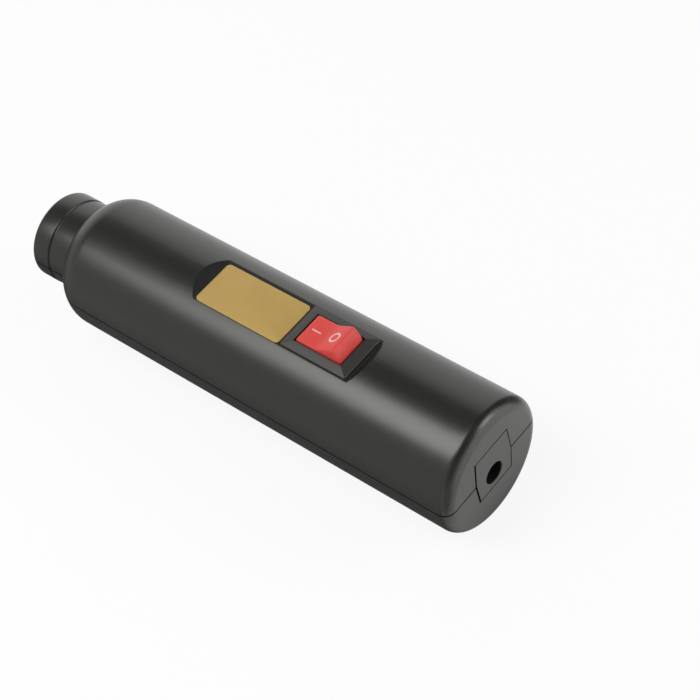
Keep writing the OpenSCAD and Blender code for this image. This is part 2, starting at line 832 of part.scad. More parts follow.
module jack_pin() color("#d3d5d6") {
    rod_x(jack_x, disc_x - pin_front, jack_pin_r, z = inlet_z);
    rod_x(jack_x - pin_head_t, jack_x, pin_head_r, z = inlet_z);
    box(jack_x - pin_head_t - tab_l, jack_x - pin_head_t, tab_w, inlet_z - tab_t / 2, inlet_z + tab_t / 2);
}

module jack_leaf() color("#d3d5d6") {
    box(jack_x - tab_l, disc_x - leaf_front, leaf_w, leaf_z, leaf_z + leaf_t);
    translate([leaf_bump_x, 0, leaf_bump_z]) rod_y(leaf_w / 2, leaf_bump_r);
    box(leaf_bump_x - leaf_bump_r, leaf_bump_x + leaf_bump_r, leaf_w, leaf_z, leaf_bump_z);
}

// The wiring

module resistor() color("#8a7a55") {
    rod_x(resistor_x - resistor_l / 2, resistor_x + resistor_l / 2, resistor_r, z = resistor_z);
    rod_x(resistor_front, resistor_rear, lead_r, z = resistor_z);
}

// a wire from its first end to its last, leaving and arriving straight
module wire(ends, leave, arrive, run) {
    stem = [ends[0], ends[0] + end_step * leave];
    foot = [ends[1] - end_step * arrive, ends[1]];
    bent = smooth(concat([stem[1]], run, [foot[0]]), wire_steps);
    tube_along(concat([stem[0]], bent, [foot[1]]), wire_r, wire_sides);
}

module wire_feed() color("#c23a34") wire(feed_ends, [-1, 0, 0], [0, 0, 1], feed_run);

module wire_switched() color("#c23a34") wire(switched_ends, [0, 0, -1], [-1, 0, 0], switched_run);

module wire_lamp() color("#c23a34") wire(lamp_ends, [-1, 0, 0], [-1, 0, 0], lamp_run);

module wire_return() color("#222222") wire(return_ends, [1, 0, 0], [1, 0, 0], return_run);

upper_shell();
lower_shell();
case_screws();
egg_ring();
lens();
reflector();
led_dome();
led_base();
led_board();
led_screws();
solder_beads();
heat_sink();
rating_plate();
switch_housing();
switch_rocker();
switch_plunger();
plunger_spring();
contact_bridge();
pivot_terminal();
end_terminal();
tail_plate();
jack_block();
jack_pin();
jack_leaf();
resistor();
wire_feed();
wire_switched();
wire_lamp();
wire_return();
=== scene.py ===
# %% [markdown]
# # Egg candling lamp
# A hand lamp for looking into eggs. Two black half shells make the barrel, a light looks out of the
# narrow nose, a red rocker switch sits on a flat beside a gold plate, and a supply plug goes into the
# tail. The solids of every piece are already made, at their real size. This lesson dresses them:
# each visible piece is modelled again with its rounds, seams and finish, in the same place.

# %% Load the frame
import json
import math

import bmesh
import bpy
from mathutils import Matrix, Vector


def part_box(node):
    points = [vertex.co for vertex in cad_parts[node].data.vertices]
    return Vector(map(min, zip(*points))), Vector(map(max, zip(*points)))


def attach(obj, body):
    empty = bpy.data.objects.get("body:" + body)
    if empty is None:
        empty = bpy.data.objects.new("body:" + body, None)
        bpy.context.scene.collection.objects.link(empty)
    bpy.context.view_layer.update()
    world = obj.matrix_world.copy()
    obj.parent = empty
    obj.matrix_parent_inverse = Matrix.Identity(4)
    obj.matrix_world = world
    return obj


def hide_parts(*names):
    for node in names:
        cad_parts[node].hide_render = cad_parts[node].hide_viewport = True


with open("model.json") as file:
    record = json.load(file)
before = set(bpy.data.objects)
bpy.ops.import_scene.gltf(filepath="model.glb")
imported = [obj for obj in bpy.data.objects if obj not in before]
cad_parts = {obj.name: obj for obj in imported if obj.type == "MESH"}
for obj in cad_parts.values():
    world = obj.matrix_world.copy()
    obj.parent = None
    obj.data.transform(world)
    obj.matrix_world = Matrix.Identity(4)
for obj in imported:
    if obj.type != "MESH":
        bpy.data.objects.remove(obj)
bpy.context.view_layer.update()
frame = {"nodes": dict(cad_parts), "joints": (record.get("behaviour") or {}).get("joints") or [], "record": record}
MM = 0.001

# %% [markdown]
# ## Sizes
# The solids hold every size that matters, so the script asks them first: boxes of the pieces, and the
# mounts and joints of the record. Only small things, such as edge rounds, are sizes of their own.

# %% Sizes from the frame
mounts = {m["name"]: m for m in frame["record"]["mounts"]}
joints = {j["name"]: j for j in frame["joints"]}
lower_low, lower_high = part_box("lower_shell")
plate_low, plate_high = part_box("rating_plate")
switch_low, switch_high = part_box("switch_housing")
ring_low, ring_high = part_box("egg_ring")
lens_low, lens_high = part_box("lens")
reflector_low, reflector_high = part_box("reflector")
board_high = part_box("led_board")[1]
tail_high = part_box("tail_plate")[1]
pivot = Vector(joints["rocker_hinge"]["pos_m"])

NOSE_X = lower_low.x
TAIL_X = lower_high.x
AXIS_Z = mounts["nose_lip"]["pos_m"][2]
BODY_R = AXIS_Z
SPLIT = lower_high.z - AXIS_Z
LIP_R = mounts["nose_lip"]["dims"]["r_mm"] * MM
FLAT = plate_low.z - AXIS_Z
SNUG = 0.1 * MM
MOUTH_R = ring_high.y + SNUG
INLET_R = mounts["dc_inlet"]["dims"]["r_mm"] * MM
INLET_Z = mounts["dc_inlet"]["pos_m"][2]
print(f"barrel {(TAIL_X - NOSE_X) / MM:.1f} mm long, {2 * BODY_R / MM:.1f} mm across")

# %% Sizes of the shells
WALL = 2 * MM
TAIL_WALL = 2.5 * MM
TAIL_ROUND = 3.2 * MM
SEAM_H = 0.45 * MM
SEAM_DEPTH = 0.4 * MM
NECK_R = 12.4 * MM
NOSE_L = 13.5 * MM
LIP_L = 6.8 * MM
LIP_ROUND = 1 * MM
GROOVE_W = 0.6 * MM
GROOVE_DEPTH = 0.3 * MM
SHOULDER_ROUND = 9 * MM
FRONT_RAMP_L = 3.2 * MM
REAR_RAMP_L = 2.2 * MM
PLATE_SETBACK = 0.6 * MM
BEZEL_SETBACK = 0.7 * MM
EDGE = 0.3 * MM
RIB_H = 1.4 * MM

BORE_R = BODY_R - WALL
NECK_X = NOSE_X + NOSE_L
LIP_END = NOSE_X + LIP_L - GROOVE_W
SHOULDER_CENTRE_R = BODY_R - SHOULDER_ROUND
SHOULDER_START = math.asin((NECK_R - SHOULDER_CENTRE_R) / SHOULDER_ROUND)
SHOULDER_X = NECK_X + SHOULDER_ROUND * math.cos(SHOULDER_START)
FLAT_FRONT = plate_low.x - PLATE_SETBACK
FLAT_REAR = switch_high.x + BEZEL_SETBACK
FLAT_DROP = BODY_R - FLAT
print(f"flat from x = {FLAT_FRONT / MM:.1f} to {FLAT_REAR / MM:.1f} mm")

# %% [markdown]
# ## Turning a piece's points into a mesh
# Most pieces here are stacks of rings: the shells along their length, the plate and the bezel from the
# bottom up, the rocker from side to side. One helper joins rings with the same number of points,
# another merges what coincides, turns the faces outwards and keeps edges sharp where they should be.

# %% Helpers for stacked rings
SHARP = 16
MERGE = 0.001 * MM


def new_mesh_object(name, points, faces=(), edges=()):
    mesh = bpy.data.meshes.new(name)
    mesh.from_pydata([tuple(p) for p in points], edges, faces)
    obj = bpy.data.objects.new(name, mesh)
    bpy.context.scene.collection.objects.link(obj)
    return obj


def clean(obj, sharp=SHARP):
    """Merges doubles, drops loose edges, turns the faces outwards, and shades smooth up to an angle in
    degrees, from which an edge is sharp."""
    work = bmesh.new()
    work.from_mesh(obj.data)
    bmesh.ops.remove_doubles(work, verts=work.verts, dist=MERGE)
    bmesh.ops.dissolve_degenerate(work, edges=work.edges, dist=MERGE / 2)
    bmesh.ops.delete(work, geom=[e for e in work.edges if not e.link_faces], context="EDGES")
    bmesh.ops.recalc_face_normals(work, faces=work.faces)
    work.to_mesh(obj.data)
    work.free()
    obj.data.polygons.foreach_set("use_smooth", [True] * len(obj.data.polygons))
    obj.data.set_sharp_from_angle(angle=math.radians(sharp))
    return obj


def stack(name, rings, closed=True, loop=False):
    """Joins rings of equally many points. A closed ring's last point meets its first. With loop the last
    ring meets the first one; without it the two end rings are filled."""
    count = len(rings[0])
    assert all(len(ring) == count for ring in rings), name
    faces = []
    for i in range(len(rings) if loop else len(rings) - 1):
        a, b = i * count, (i + 1) % len(rings) * count
        for k in range(count if closed else count - 1):
            n = (k + 1) % count
            faces.append((a + k, a + n, b + n, b + k))
    if not loop:
        last = (len(rings) - 1) * count
        faces.append(tuple(range(count)))
        faces.append(tuple(range(last, last + count)))
    if not closed:
        faces.append(tuple(i * count for i in range(len(rings))))
        faces.append(tuple(i * count + count - 1 for i in range(len(rings))))
    return new_mesh_object(name, [p for ring in rings for p in ring], faces)


def steps(start, stop, count):
    return [start + (stop - start) * k / count for k in range(count + 1)]


def full_turn(sides):
    return steps(0, 2 * math.pi, sides)[:-1]


def circle(r, angles):
    return [(r * math.cos(a), r * math.sin(a)) for a in angles]


def arc(r, start, stop, count):
    """Points on a circle about zero, from one angle in degrees to another."""
    return circle(r, [math.radians(a) for a in steps(start, stop, count)])


def dress(obj, finish, body, slot, *nodes):
    """Gives a finished piece its material and its body, and hides the solids that it stands for. The slot is not
    used.
    """
    obj.data.materials.clear()
    obj.data.materials.append(finish)
    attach(obj, body)
    if nodes:
        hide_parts(*nodes)
    print(f"{obj.name}: {len(obj.data.polygons)} faces, rides on {body}")


print("helpers ready")

# %% [markdown]
# ## Finishes
# Every finish is made of nodes on Object coordinates, so its grain has a real size in millimetres.
# Moulded plastic gets a slow drift of tone, and a fine spark-eroded grain in its gloss and its bump. Metal
# gets fine lines instead, by stretching the noise along one axis.

# %% Helpers for procedural finishes
NOISE_MIDDLE = (0.3, 0.7)
BLUE_SHARE = 0.95


def feed(tree, node, inputs):
    """Links each input that is given another node's socket, and sets the others."""
    for socket, value in inputs.items():
        if isinstance(value, bpy.types.NodeSocket):
            tree.links.new(value, node.inputs[socket])
        else:
            node.inputs[socket].default_value = value


def add(tree, kind, inputs, **settings):
    """A new node: its settings are made first, then its inputs are fed."""
    node = tree.nodes.new(kind)
    for name, value in settings.items():
        setattr(node, name, value)
    feed(tree, node, inputs)
    return node


def finish_nodes(name):
    """A new material, its tree, its shader and the place of each point on the object."""
    material = bpy.data.materials.new(name)
    material.use_nodes = True
    tree = material.node_tree
    place = add(tree, "ShaderNodeTexCoord", {}).outputs["Object"]
    return material, tree, tree.nodes["Principled BSDF"], place


def noise(tree, place, size, stretch=(1, 1, 1), detail=3):
    """Noise whose features measure about size in millimetres, drawn out by stretch."""
    scale = [1 / (size * MM * s) for s in stretch]
    scaled = add(tree, "ShaderNodeMapping", {"Vector": place, "Scale": scale}).outputs["Vector"]
    texture = add(tree, "ShaderNodeTexNoise", {"Vector": scaled, "Scale": 1, "Detail": detail})
    return texture.outputs["Fac"]


def spread(tree, value, low, high):
    """Maps the middle of a noise to the range from low to high, for a number or a colour."""
    ends = {"Value": value, "From Min": NOISE_MIDDLE[0], "From Max": NOISE_MIDDLE[1]}
    if not isinstance(low, tuple):
        return add(tree, "ShaderNodeMapRange", {**ends, "To Min": low, "To Max": high}).outputs["Result"]
    share = add(tree, "ShaderNodeMapRange", ends).outputs["Result"]
    mix = add(tree, "ShaderNodeMix", {"Factor": share, "A": (*low, 1), "B": (*high, 1)}, data_type="RGBA")
    return mix.outputs["Result"]


def surface(name, dark, light, rough, drift, grain, relief, stretch=(1, 1, 1), metallic=0.0, ior=1.5,
            gloss=0.5, tint=(1, 1, 1)):
    """A finish between two close tones. Its tone drifts slowly; its gloss and bump follow a fine grain.
    The size of the drift, the size of the grain and its relief are millimetres."""
    material, tree, shader, place = finish_nodes(name)
    fine = noise(tree, place, grain, stretch, detail=1)
    bump = add(tree, "ShaderNodeBump", {"Distance": relief * MM, "Height": fine})
    feed(tree, shader, {
        "Base Color": spread(tree, noise(tree, place, drift), dark, light),
        "Roughness": spread(tree, fine, *rough),
        "Normal": bump.outputs["Normal"],
        "Metallic": metallic,
        "IOR": ior,
        "Specular IOR Level": gloss,
        "Specular Tint": (*tint, 1),
    })
    return material


def grey(value):
    """A grey that is a little warm, like the lamp's black."""
    return (value, value, value * BLUE_SHARE)


print("finish helpers ready")

# %% The finishes of this lamp
ALONG_X = (30, 1, 1)
ROUND_X = (1, 30, 30)
WARM = (1, 0.995, 0.95)
ABS_IOR = 1.58
shell_black = surface("shell_black", grey(0.011), grey(0.014), (0.28, 0.32), 18, 0.36, 0.0024,
                      ior=ABS_IOR, tint=WARM)
bezel_black = surface("bezel_black", grey(0.0155), grey(0.02), (0.46, 0.56), 6, 0.2, 0.003,
                      ior=ABS_IOR, tint=WARM)
rocker_red = surface("rocker_red", (0.66, 0.069, 0.061), (0.71, 0.079, 0.069), (0.36, 0.44), 5, 0.3, 0.003,
                     gloss=0.2)
mark_white = surface("mark_white", (0.82, 0.44, 0.42), (0.86, 0.5, 0.48), (0.4, 0.5), 2, 0.1, 0.002)
plate_gold = surface("plate_gold", (0.475, 0.312, 0.088), (0.505, 0.334, 0.097), (0.46, 0.54), 7, 0.09,
                     0.002, ALONG_X, metallic=0.15)
soft_rubber = surface("soft_rubber", grey(0.012), grey(0.017), (0.62, 0.74), 5, 0.15, 0.006)
bright_bowl = surface("bright_bowl", (0.84, 0.84, 0.85), (0.9, 0.9, 0.91), (0.07, 0.13), 3, 0.4, 0.001,
                      metallic=1.0)
white_ceramic = surface("white_ceramic", (0.78, 0.78, 0.75), (0.84, 0.84, 0.81), (0.45, 0.55), 3, 0.15,
                        0.002)
zinc_steel = surface("zinc_steel", (0.52, 0.53, 0.54), (0.62, 0.63, 0.64), (0.26, 0.4), 1.5, 0.2, 0.002,
                     metallic=1.0)
turned_aluminium = surface("turned_aluminium", (0.6, 0.61, 0.62), (0.68, 0.69, 0.7), (0.28, 0.42), 4, 0.06,
                           0.003, ROUND_X, metallic=1.0)
stamped_brass = surface("stamped_brass", (0.62, 0.44, 0.15), (0.7, 0.51, 0.19), (0.25, 0.4), 2, 0.08, 0.002,
                        ALONG_X, metallic=1.0)
wire_red = surface("wire_red", (0.5, 0.03, 0.025), (0.56, 0.04, 0.032), (0.35, 0.45), 4, 0.2, 0.002)
wire_black = surface("wire_black", grey(0.014), grey(0.02), (0.35, 0.45), 4, 0.2, 0.002)
print(len(bpy.data.materials), "materials in the file")

# %% Clear finish of the lens and the light's dome
CLEAR_GRAIN = 1.2
CLEAR_IOR = 1.49


def clear_finish(name, tint, rough):
    material, tree, shader, place = finish_nodes(name)
    feed(tree, shader, {
        "Base Color": (*tint, 1),
        "Roughness": spread(tree, noise(tree, place, CLEAR_GRAIN), *rough),
        "Transmission Weight": 1,
        "IOR": CLEAR_IOR,
    })
    return material


lens_clear = clear_finish("lens_clear", (0.96, 0.98, 0.98), (0.02, 0.06))
dome_clear = clear_finish("dome_clear", (1, 0.93, 0.6), (0.08, 0.14))
print("clear finishes:", lens_clear.name, dome_clear.name)

# %% [markdown]
# ## The outline of the barrel
# The shells are turned forms, so one outline in (x, radius) serves both halves. It runs as a closed
# path: over the outside from the mouth to the tail, through the tail window and back along the inside,
# so that each half becomes a real wall and not just a skin. Round stretches are arcs.

# %% Outline of the shells
ROUND_STEPS = 8
BARREL_STEPS = 8
FLAT_STEPS = 6
TIP_STEPS = (0.03, 0.08, 0.16, 0.28, 0.44, 0.64, 0.84, 1)


def bend(x, r, radius, start, stop, count=ROUND_STEPS):
    """Points (x, r) on an arc, with its angles in degrees: 0 points to the tail, 90 outwards."""
    return [(x + dx, r + dr) for dx, dr in arc(radius, start, stop, count)]


ramp_tip_front = FLAT_FRONT - FRONT_RAMP_L
ramp_tip_rear = FLAT_REAR + REAR_RAMP_L
barrel_x = [
    *steps(SHOULDER_X, ramp_tip_front, BARREL_STEPS)[1:],
    *[ramp_tip_front + FRONT_RAMP_L * s for s in TIP_STEPS],
    *steps(FLAT_FRONT, FLAT_REAR, FLAT_STEPS)[1:],
    *[ramp_tip_rear - REAR_RAMP_L * s for s in reversed(TIP_STEPS[:-1])],
    *steps(ramp_tip_rear, TAIL_X - TAIL_ROUND, BARREL_STEPS)[:-1],
]
shoulder_angle = 180 - math.degrees(SHOULDER_START)
outside = [
    *bend(NOSE_X + EDGE, MOUTH_R + EDGE, EDGE, 270, 180),
    *bend(NOSE_X + LIP_ROUND, LIP_R - LIP_ROUND, LIP_ROUND, 180, 90),
    *bend(LIP_END - EDGE, LIP_R - EDGE, EDGE, 90, 10),
    *bend(LIP_END + GROOVE_W / 2, NECK_R - GROOVE_DEPTH + GROOVE_W / 2, GROOVE_W / 2, 200, 300),
    *bend(LIP_END + GROOVE_W + EDGE, NECK_R - EDGE, EDGE, 170, 90),
    (NECK_X - EDGE, NECK_R),
    *bend(SHOULDER_X, SHOULDER_CENTRE_R, SHOULDER_ROUND, shoulder_angle, 90, 2 * ROUND_STEPS),
    *[(x, BODY_R) for x in barrel_x],
    *bend(TAIL_X - TAIL_ROUND, BODY_R - TAIL_ROUND, TAIL_ROUND, 90, 0, 2 * ROUND_STEPS),
    (TAIL_X, BODY_R - TAIL_ROUND - EDGE),
]

TAIL_INNER = TAIL_X - TAIL_WALL
RIB_T = 1.2 * MM
DISC_R = tail_high.y
SLEEVE_T = 1.6 * MM
SINK_FLANGE = 3 * MM
DISC_SLOT = 1.7 * MM
DISC_HOLD = 1 * MM
keeper_x = board_high.x + SINK_FLANGE + SNUG
sleeve_end = keeper_x + RIB_H
disc_x = TAIL_INNER - DISC_SLOT
sleeve_rise = (MOUTH_R + SLEEVE_T - SHOULDER_CENTRE_R) / (SHOULDER_ROUND - WALL)
inner_start = 180 - math.degrees(math.asin(sleeve_rise))
inside = [
    (TAIL_INNER, DISC_R + WALL),
    (disc_x, BORE_R),
    (disc_x, DISC_R - DISC_HOLD),
    (disc_x - RIB_T, DISC_R - DISC_HOLD),
    (disc_x - RIB_T, BORE_R),
    *[(x, BORE_R) for x in reversed(barrel_x) if x < disc_x - RIB_T],
    *bend(SHOULDER_X, SHOULDER_CENTRE_R, SHOULDER_ROUND - WALL, 90, inner_start),
    (sleeve_end, MOUTH_R + SLEEVE_T),
    (sleeve_end, MOUTH_R - RIB_H),
    (keeper_x, MOUTH_R - RIB_H),
    (keeper_x, MOUTH_R),
    (reflector_low.x, MOUTH_R),
    (reflector_low.x, MOUTH_R - RIB_H),
    (lens_high.x, MOUTH_R - RIB_H),
    (lens_high.x, MOUTH_R),
]
print(len(outside), "outline points outside,", len(inside), "inside")

# %% [markdown]
# ## Cross-sections
# Each point of the outline becomes a half ring. On the upper half the ring is cut off by the flat for the
# plate and the switch, with a small round where the flat meets the barrel. On the lower half its first
# two points step inwards, which makes the dark shadow line along the split. At the tail the rings change
# from circles to the six-sided window that holds the inlet's plate.

# %% Half rings of the two shells
WINDOW_GAP = 0.2 * MM
WINDOW_EDGE = 0.03 * MM
WINDOW_TOP = 7.8 * MM + WINDOW_GAP
WINDOW_LOW = 7.3 * MM + WINDOW_GAP
WINDOW_HALF = 12.9 * MM / 2 + WINDOW_GAP
WINDOW_MID = 14.2 * MM / 2 + WINDOW_GAP
SIDE_COLUMNS = 16
TOP_COLUMNS = 9
RIM_COLUMNS = 4
LOW_COLUMNS = 13
STRIP_SHARES = (0.96, 0.75, 0.5, 0.25, 0)
RIM_ROUND = 0.35 * MM
TOUCH = 0.01 * MM
TIP_HALF = math.sqrt(BODY_R ** 2 - (BODY_R - FLAT_DROP * TIP_STEPS[0]) ** 2)
top_corner = math.atan2(SPLIT + WINDOW_TOP, WINDOW_HALF)
low_corner = math.atan2(SPLIT - WINDOW_LOW, WINDOW_HALF)


def flat_height(x, r):
    """Height of the flat or its ramp above the axis at x, lowered with the radius for the inside."""
    climb = max(0, (FLAT_FRONT - x) / FRONT_RAMP_L, (x - FLAT_REAR) / REAR_RAMP_L)
    return FLAT + FLAT_DROP * climb - (BODY_R - r)


def upper_points(x, r, on_barrel):
    """One quarter of the upper shell's ring, from the split to the top, as (y, z) about the axis."""
    split_angle = math.asin(SPLIT / r)
    height = flat_height(x, r) if on_barrel else r
    if height < r - TOUCH:
        half = math.sqrt((r - RIM_ROUND) ** 2 - (height - RIM_ROUND) ** 2)
        edge = math.atan2(height - RIM_ROUND, half)
        rim = [(half + dy, height - RIM_ROUND + dz)
               for dy, dz in circle(RIM_ROUND, steps(edge, math.pi / 2, RIM_COLUMNS)[1:])]
        strip = [(half * share, height) for share in STRIP_SHARES]
    else:
        half = TIP_HALF * r / BODY_R
        edge = math.acos((half + RIM_ROUND) / r)
        rim = circle(r, steps(edge, math.acos(half / r), RIM_COLUMNS)[1:])
        strip = circle(r, [math.acos(half * share / r) for share in STRIP_SHARES])
    side = circle(r, steps(split_angle, top_corner, SIDE_COLUMNS))
    return side + circle(r, steps(top_corner, edge, TOP_COLUMNS)[1:]) + rim + strip


def half_ring(x, quarter, sunk=()):
    """A quarter's points at x, after the sunk points of a shadow line, and their mirror images."""
    right = [*sunk, *[(x, y, AXIS_Z + z) for y, z in quarter]]
    return right + [(x, -y, z) for x, y, z in reversed(right[:-1])]


def along(start, stop, count):
    return [tuple(Vector(start).lerp(Vector(stop), k / count)) for k in range(count + 1)]


def window_quarter(corner, middle, side_count, top_count, grow):
    """One quarter of the tail window's outline, from the split to the middle of its top or bottom."""
    sign = 1 if corner[1] > middle[1] else -1
    corner = (corner[0] + grow, corner[1] + sign * grow)
    middle = (middle[0] + grow, middle[1])
    return along(middle, corner, side_count) + along(corner, (0, corner[1]), top_count)[1:]


upper_count = TOP_COLUMNS + RIM_COLUMNS + len(STRIP_SHARES)
upper_corner = (WINDOW_HALF, SPLIT + WINDOW_TOP)
lower_corner = (WINDOW_HALF, SPLIT - WINDOW_LOW)


def upper_window(x, grow=0):
    return half_ring(x, window_quarter(upper_corner, (WINDOW_MID, SPLIT), SIDE_COLUMNS, upper_count, grow))


print("columns in the upper ring:", 2 * (SIDE_COLUMNS + upper_count) + 1)

# %% Half rings of the lower shell
def lower_points(r, seam):
    """One quarter of the lower shell's ring, from the seam's lower edge to the belly."""
    start = math.asin(seam / r)
    belly = steps(low_corner, -math.pi / 2, LOW_COLUMNS)[1:]
    return circle(r, steps(start, low_corner, SIDE_COLUMNS) + belly)


def sunk_points(x, r, normal):
    """The shadow line's floor: the outline moved inwards along its normal, at the split and below it."""
    deep_x, deep_r = x - SEAM_DEPTH * normal[0], r - SEAM_DEPTH * normal[1]
    return [(deep_x, math.sqrt(deep_r ** 2 - z ** 2), AXIS_Z + z) for z in (SPLIT, SPLIT - SEAM_H)]


def lower_window(x, sunk_x, grow=0):
    low = SPLIT - SEAM_H
    quarter = window_quarter(lower_corner, (WINDOW_MID, low), SIDE_COLUMNS, LOW_COLUMNS, grow)
    sunk = [(sunk_x, WINDOW_MID + grow, AXIS_Z + z) for z in (SPLIT, low)]
    return half_ring(x, quarter, sunk)


def outline_normals(path):
    """Outward direction at each point of an open outline that runs from nose to tail on the outside."""
    normals = []
    for k in range(len(path)):
        before, after = Vector(path[max(0, k - 1)]), Vector(path[min(len(path) - 1, k + 1)])
        run = (after - before).normalized()
        normals.append((-run.y, run.x))
    return normals


print("columns in the lower ring:", 2 * (SIDE_COLUMNS + LOW_COLUMNS + 2) + 1)

# %% [markdown]
# ## Screw bosses and cut-outs
# The halves are held by four screws from the belly. Their pillars and wells, and the opening for the
# switch, are simple solids, so booleans join and cut them on the closed walls made above. A pillar's
# foot follows the middle of the wall, so that it grows out of the shell and never shows outside.

# %% Helpers for pillars and cuts
SCREW_SIDES = 48
SQUARE = ((-1, -1), (1, -1), (1, 1), (-1, 1))


def boolean(target, tool, operation):
    modifier = target.modifiers.new("join", "BOOLEAN")
    modifier.operation = operation
    modifier.solver = "EXACT"
    modifier.object = tool
    view = bpy.context.evaluated_depsgraph_get()
    result = bpy.data.meshes.new_from_object(target.evaluated_get(view))
    target.modifiers.remove(modifier)
    old = target.data
    target.data = result
    bpy.data.meshes.remove(old)
    bpy.data.objects.remove(tool)


def ring_at(x, y, r, heights, sides=SCREW_SIDES):
    """A circle about a vertical line; heights is one height, or gives one for each point's y."""
    points = [(x + dx, y + dy) for dx, dy in circle(r, full_turn(sides))]
    return [(px, py, heights(py) if callable(heights) else heights) for px, py in points]


def middle_of_wall(side):
    """Height of the wall's middle at a given y, for the belly (side -1) or the top (side 1)."""
    radius = BODY_R - WALL / 2
    return lambda y: AXIS_Z + side * math.sqrt(max(0, radius ** 2 - y ** 2))


def pin(name, place, r, low, high):
    return clean(stack(name, [ring_at(*place, r, low), ring_at(*place, r, high)]))


screws_low, screws_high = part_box("case_screws")
SCREW_HEAD_R = 2.7 * MM
SCREW_HEAD_T = 2 * MM
SCREW_R = 1.5 * MM
WELL_R = SCREW_HEAD_R + EDGE
SEAT_Z = screws_low.z + SCREW_HEAD_T
screw_places = [(x, y) for x in (screws_low.x + SCREW_HEAD_R, screws_high.x - SCREW_HEAD_R)
                for y in (screws_low.y + SCREW_HEAD_R, screws_high.y - SCREW_HEAD_R)]
print("screws at", [tuple(round(v / MM, 1) for v in place) for place in screw_places])

# %% [markdown]
# ## The upper shell
# All its rings are stacked into one wall: outside, tail window, inside, and round again. Then come the
# pillars for the screws and the opening that the switch snaps into.

# %% Upper shell
UPPER_PILLAR_R = 3.3 * MM
CUTOUT_L = 19 * MM
CUTOUT_W = 13 * MM
switch_x = (switch_low.x + switch_high.x) / 2


def is_barrel(x, r, radius):
    return abs(r - radius) < MERGE and ramp_tip_front < x < ramp_tip_rear


def upper_wall(path, radius):
    return [half_ring(x, upper_points(x, r, is_barrel(x, r, radius))) for x, r in path]


upper_rings = [
    *upper_wall(outside, BODY_R),
    upper_window(TAIL_X, WINDOW_EDGE),
    upper_window(TAIL_X - WINDOW_EDGE),
    upper_window(TAIL_INNER),
    *upper_wall(inside, BORE_R),
]
upper_shell = clean(stack("upper_shell_skin", upper_rings, closed=False, loop=True))
split_z = AXIS_Z + SPLIT
for place in screw_places:
    pillar = pin("pillar", place, UPPER_PILLAR_R, split_z + SNUG, middle_of_wall(1))
    boolean(upper_shell, pillar, "UNION")
    pilot = pin("pilot", place, SCREW_R, split_z - WALL, screws_high.z + SNUG)
    boolean(upper_shell, pilot, "DIFFERENCE")
opening = [[(switch_x + sx * CUTOUT_L / 2, sy * CUTOUT_W / 2, z) for sx, sy in SQUARE]
           for z in (plate_low.z - 2 * WALL, plate_low.z + WALL)]
boolean(upper_shell, clean(stack("opening", opening)), "DIFFERENCE")
clean(upper_shell)
dress(upper_shell, shell_black, "case", "shell", "upper_shell")

# %% [markdown]
# ## The lower shell
# The same outline, with the sunk shadow line at its edge. Its screw wells are bored last, through the
# pillars, so that the seats for the screw heads are left inside.

# %% Lower shell
LOWER_PILLAR_R = 4.2 * MM
HOLE_R = SCREW_R + 2 * SNUG
seam = SPLIT - SEAM_H


def lower_wall(path, normals):
    return [half_ring(x, lower_points(r, seam), sunk_points(x, r, n)) for (x, r), n in zip(path, normals)]


lower_rings = [
    *lower_wall(outside, outline_normals(outside)),
    lower_window(TAIL_X, TAIL_X - SEAM_DEPTH, WINDOW_EDGE),
    lower_window(TAIL_X - WINDOW_EDGE, TAIL_X - SEAM_DEPTH),
    lower_window(TAIL_INNER, TAIL_INNER),
    *lower_wall(inside, [(0, 0)] * len(inside)),
]
lower_shell = clean(stack("lower_shell_skin", lower_rings, closed=False, loop=True))
for place in screw_places:
    pillar = pin("pillar", place, LOWER_PILLAR_R, middle_of_wall(-1), split_z - SNUG)
    boolean(lower_shell, pillar, "UNION")
    boolean(lower_shell, pin("well", place, WELL_R, -WALL, SEAT_Z), "DIFFERENCE")
    boolean(lower_shell, pin("hole", place, HOLE_R, -WALL, split_z + WALL), "DIFFERENCE")
clean(lower_shell)
dress(lower_shell, shell_black, "case", "shell", "lower_shell")

# %% [markdown]
# ## The rating plate
# A thin stamped plate with round corners, glued on the flat. It is a stack of rounded rectangles: the
# last one is drawn in a little, so that the stamped edge catches the light.

# %% Rounded rectangles
CORNER_STEPS = 6
LEAST_ROUND = 0.02 * MM
BEVEL_SHARE = 0.3


def rounded_box(low, high, round_r, z, inset=0):
    """A rectangle with round corners at height z, given by two opposite corners."""
    x0, y0, x1, y1 = low[0] + inset, low[1] + inset, high[0] - inset, high[1] - inset
    r = max(round_r - inset, LEAST_ROUND)
    centres = (x1 - r, y1 - r), (x0 + r, y1 - r), (x0 + r, y0 + r), (x1 - r, y0 + r)
    return [(cx + dx, cy + dy, z) for quarter, (cx, cy) in enumerate(centres)
            for dx, dy in arc(r, 90 * quarter, 90 * quarter + 90, CORNER_STEPS)]


PLATE_CORNER = 1.2 * MM
PLATE_EDGE = 0.14 * MM
PLATE_SHARP = 30
plate_levels = [(plate_low.z, 0), (plate_high.z - PLATE_EDGE, 0),
                (plate_high.z - BEVEL_SHARE * PLATE_EDGE, BEVEL_SHARE * PLATE_EDGE),
                (plate_high.z, PLATE_EDGE)]
rating_plate = stack("rating_plate_metal", [rounded_box(plate_low, plate_high, PLATE_CORNER, z, inset)
                                            for z, inset in plate_levels])
clean(rating_plate, PLATE_SHARP)
dress(rating_plate, plate_gold, "case", "gold", "rating_plate")

# %% [markdown]
# ## The switch's housing
# A snap-in switch body: a block below the flat, a bezel above it with four sloping sides that meet in
# mitres, and a well that the rocker stands in. Stacked rounded rectangles give all of that, from the
# bottom of the block up over the bezel and down into the well.

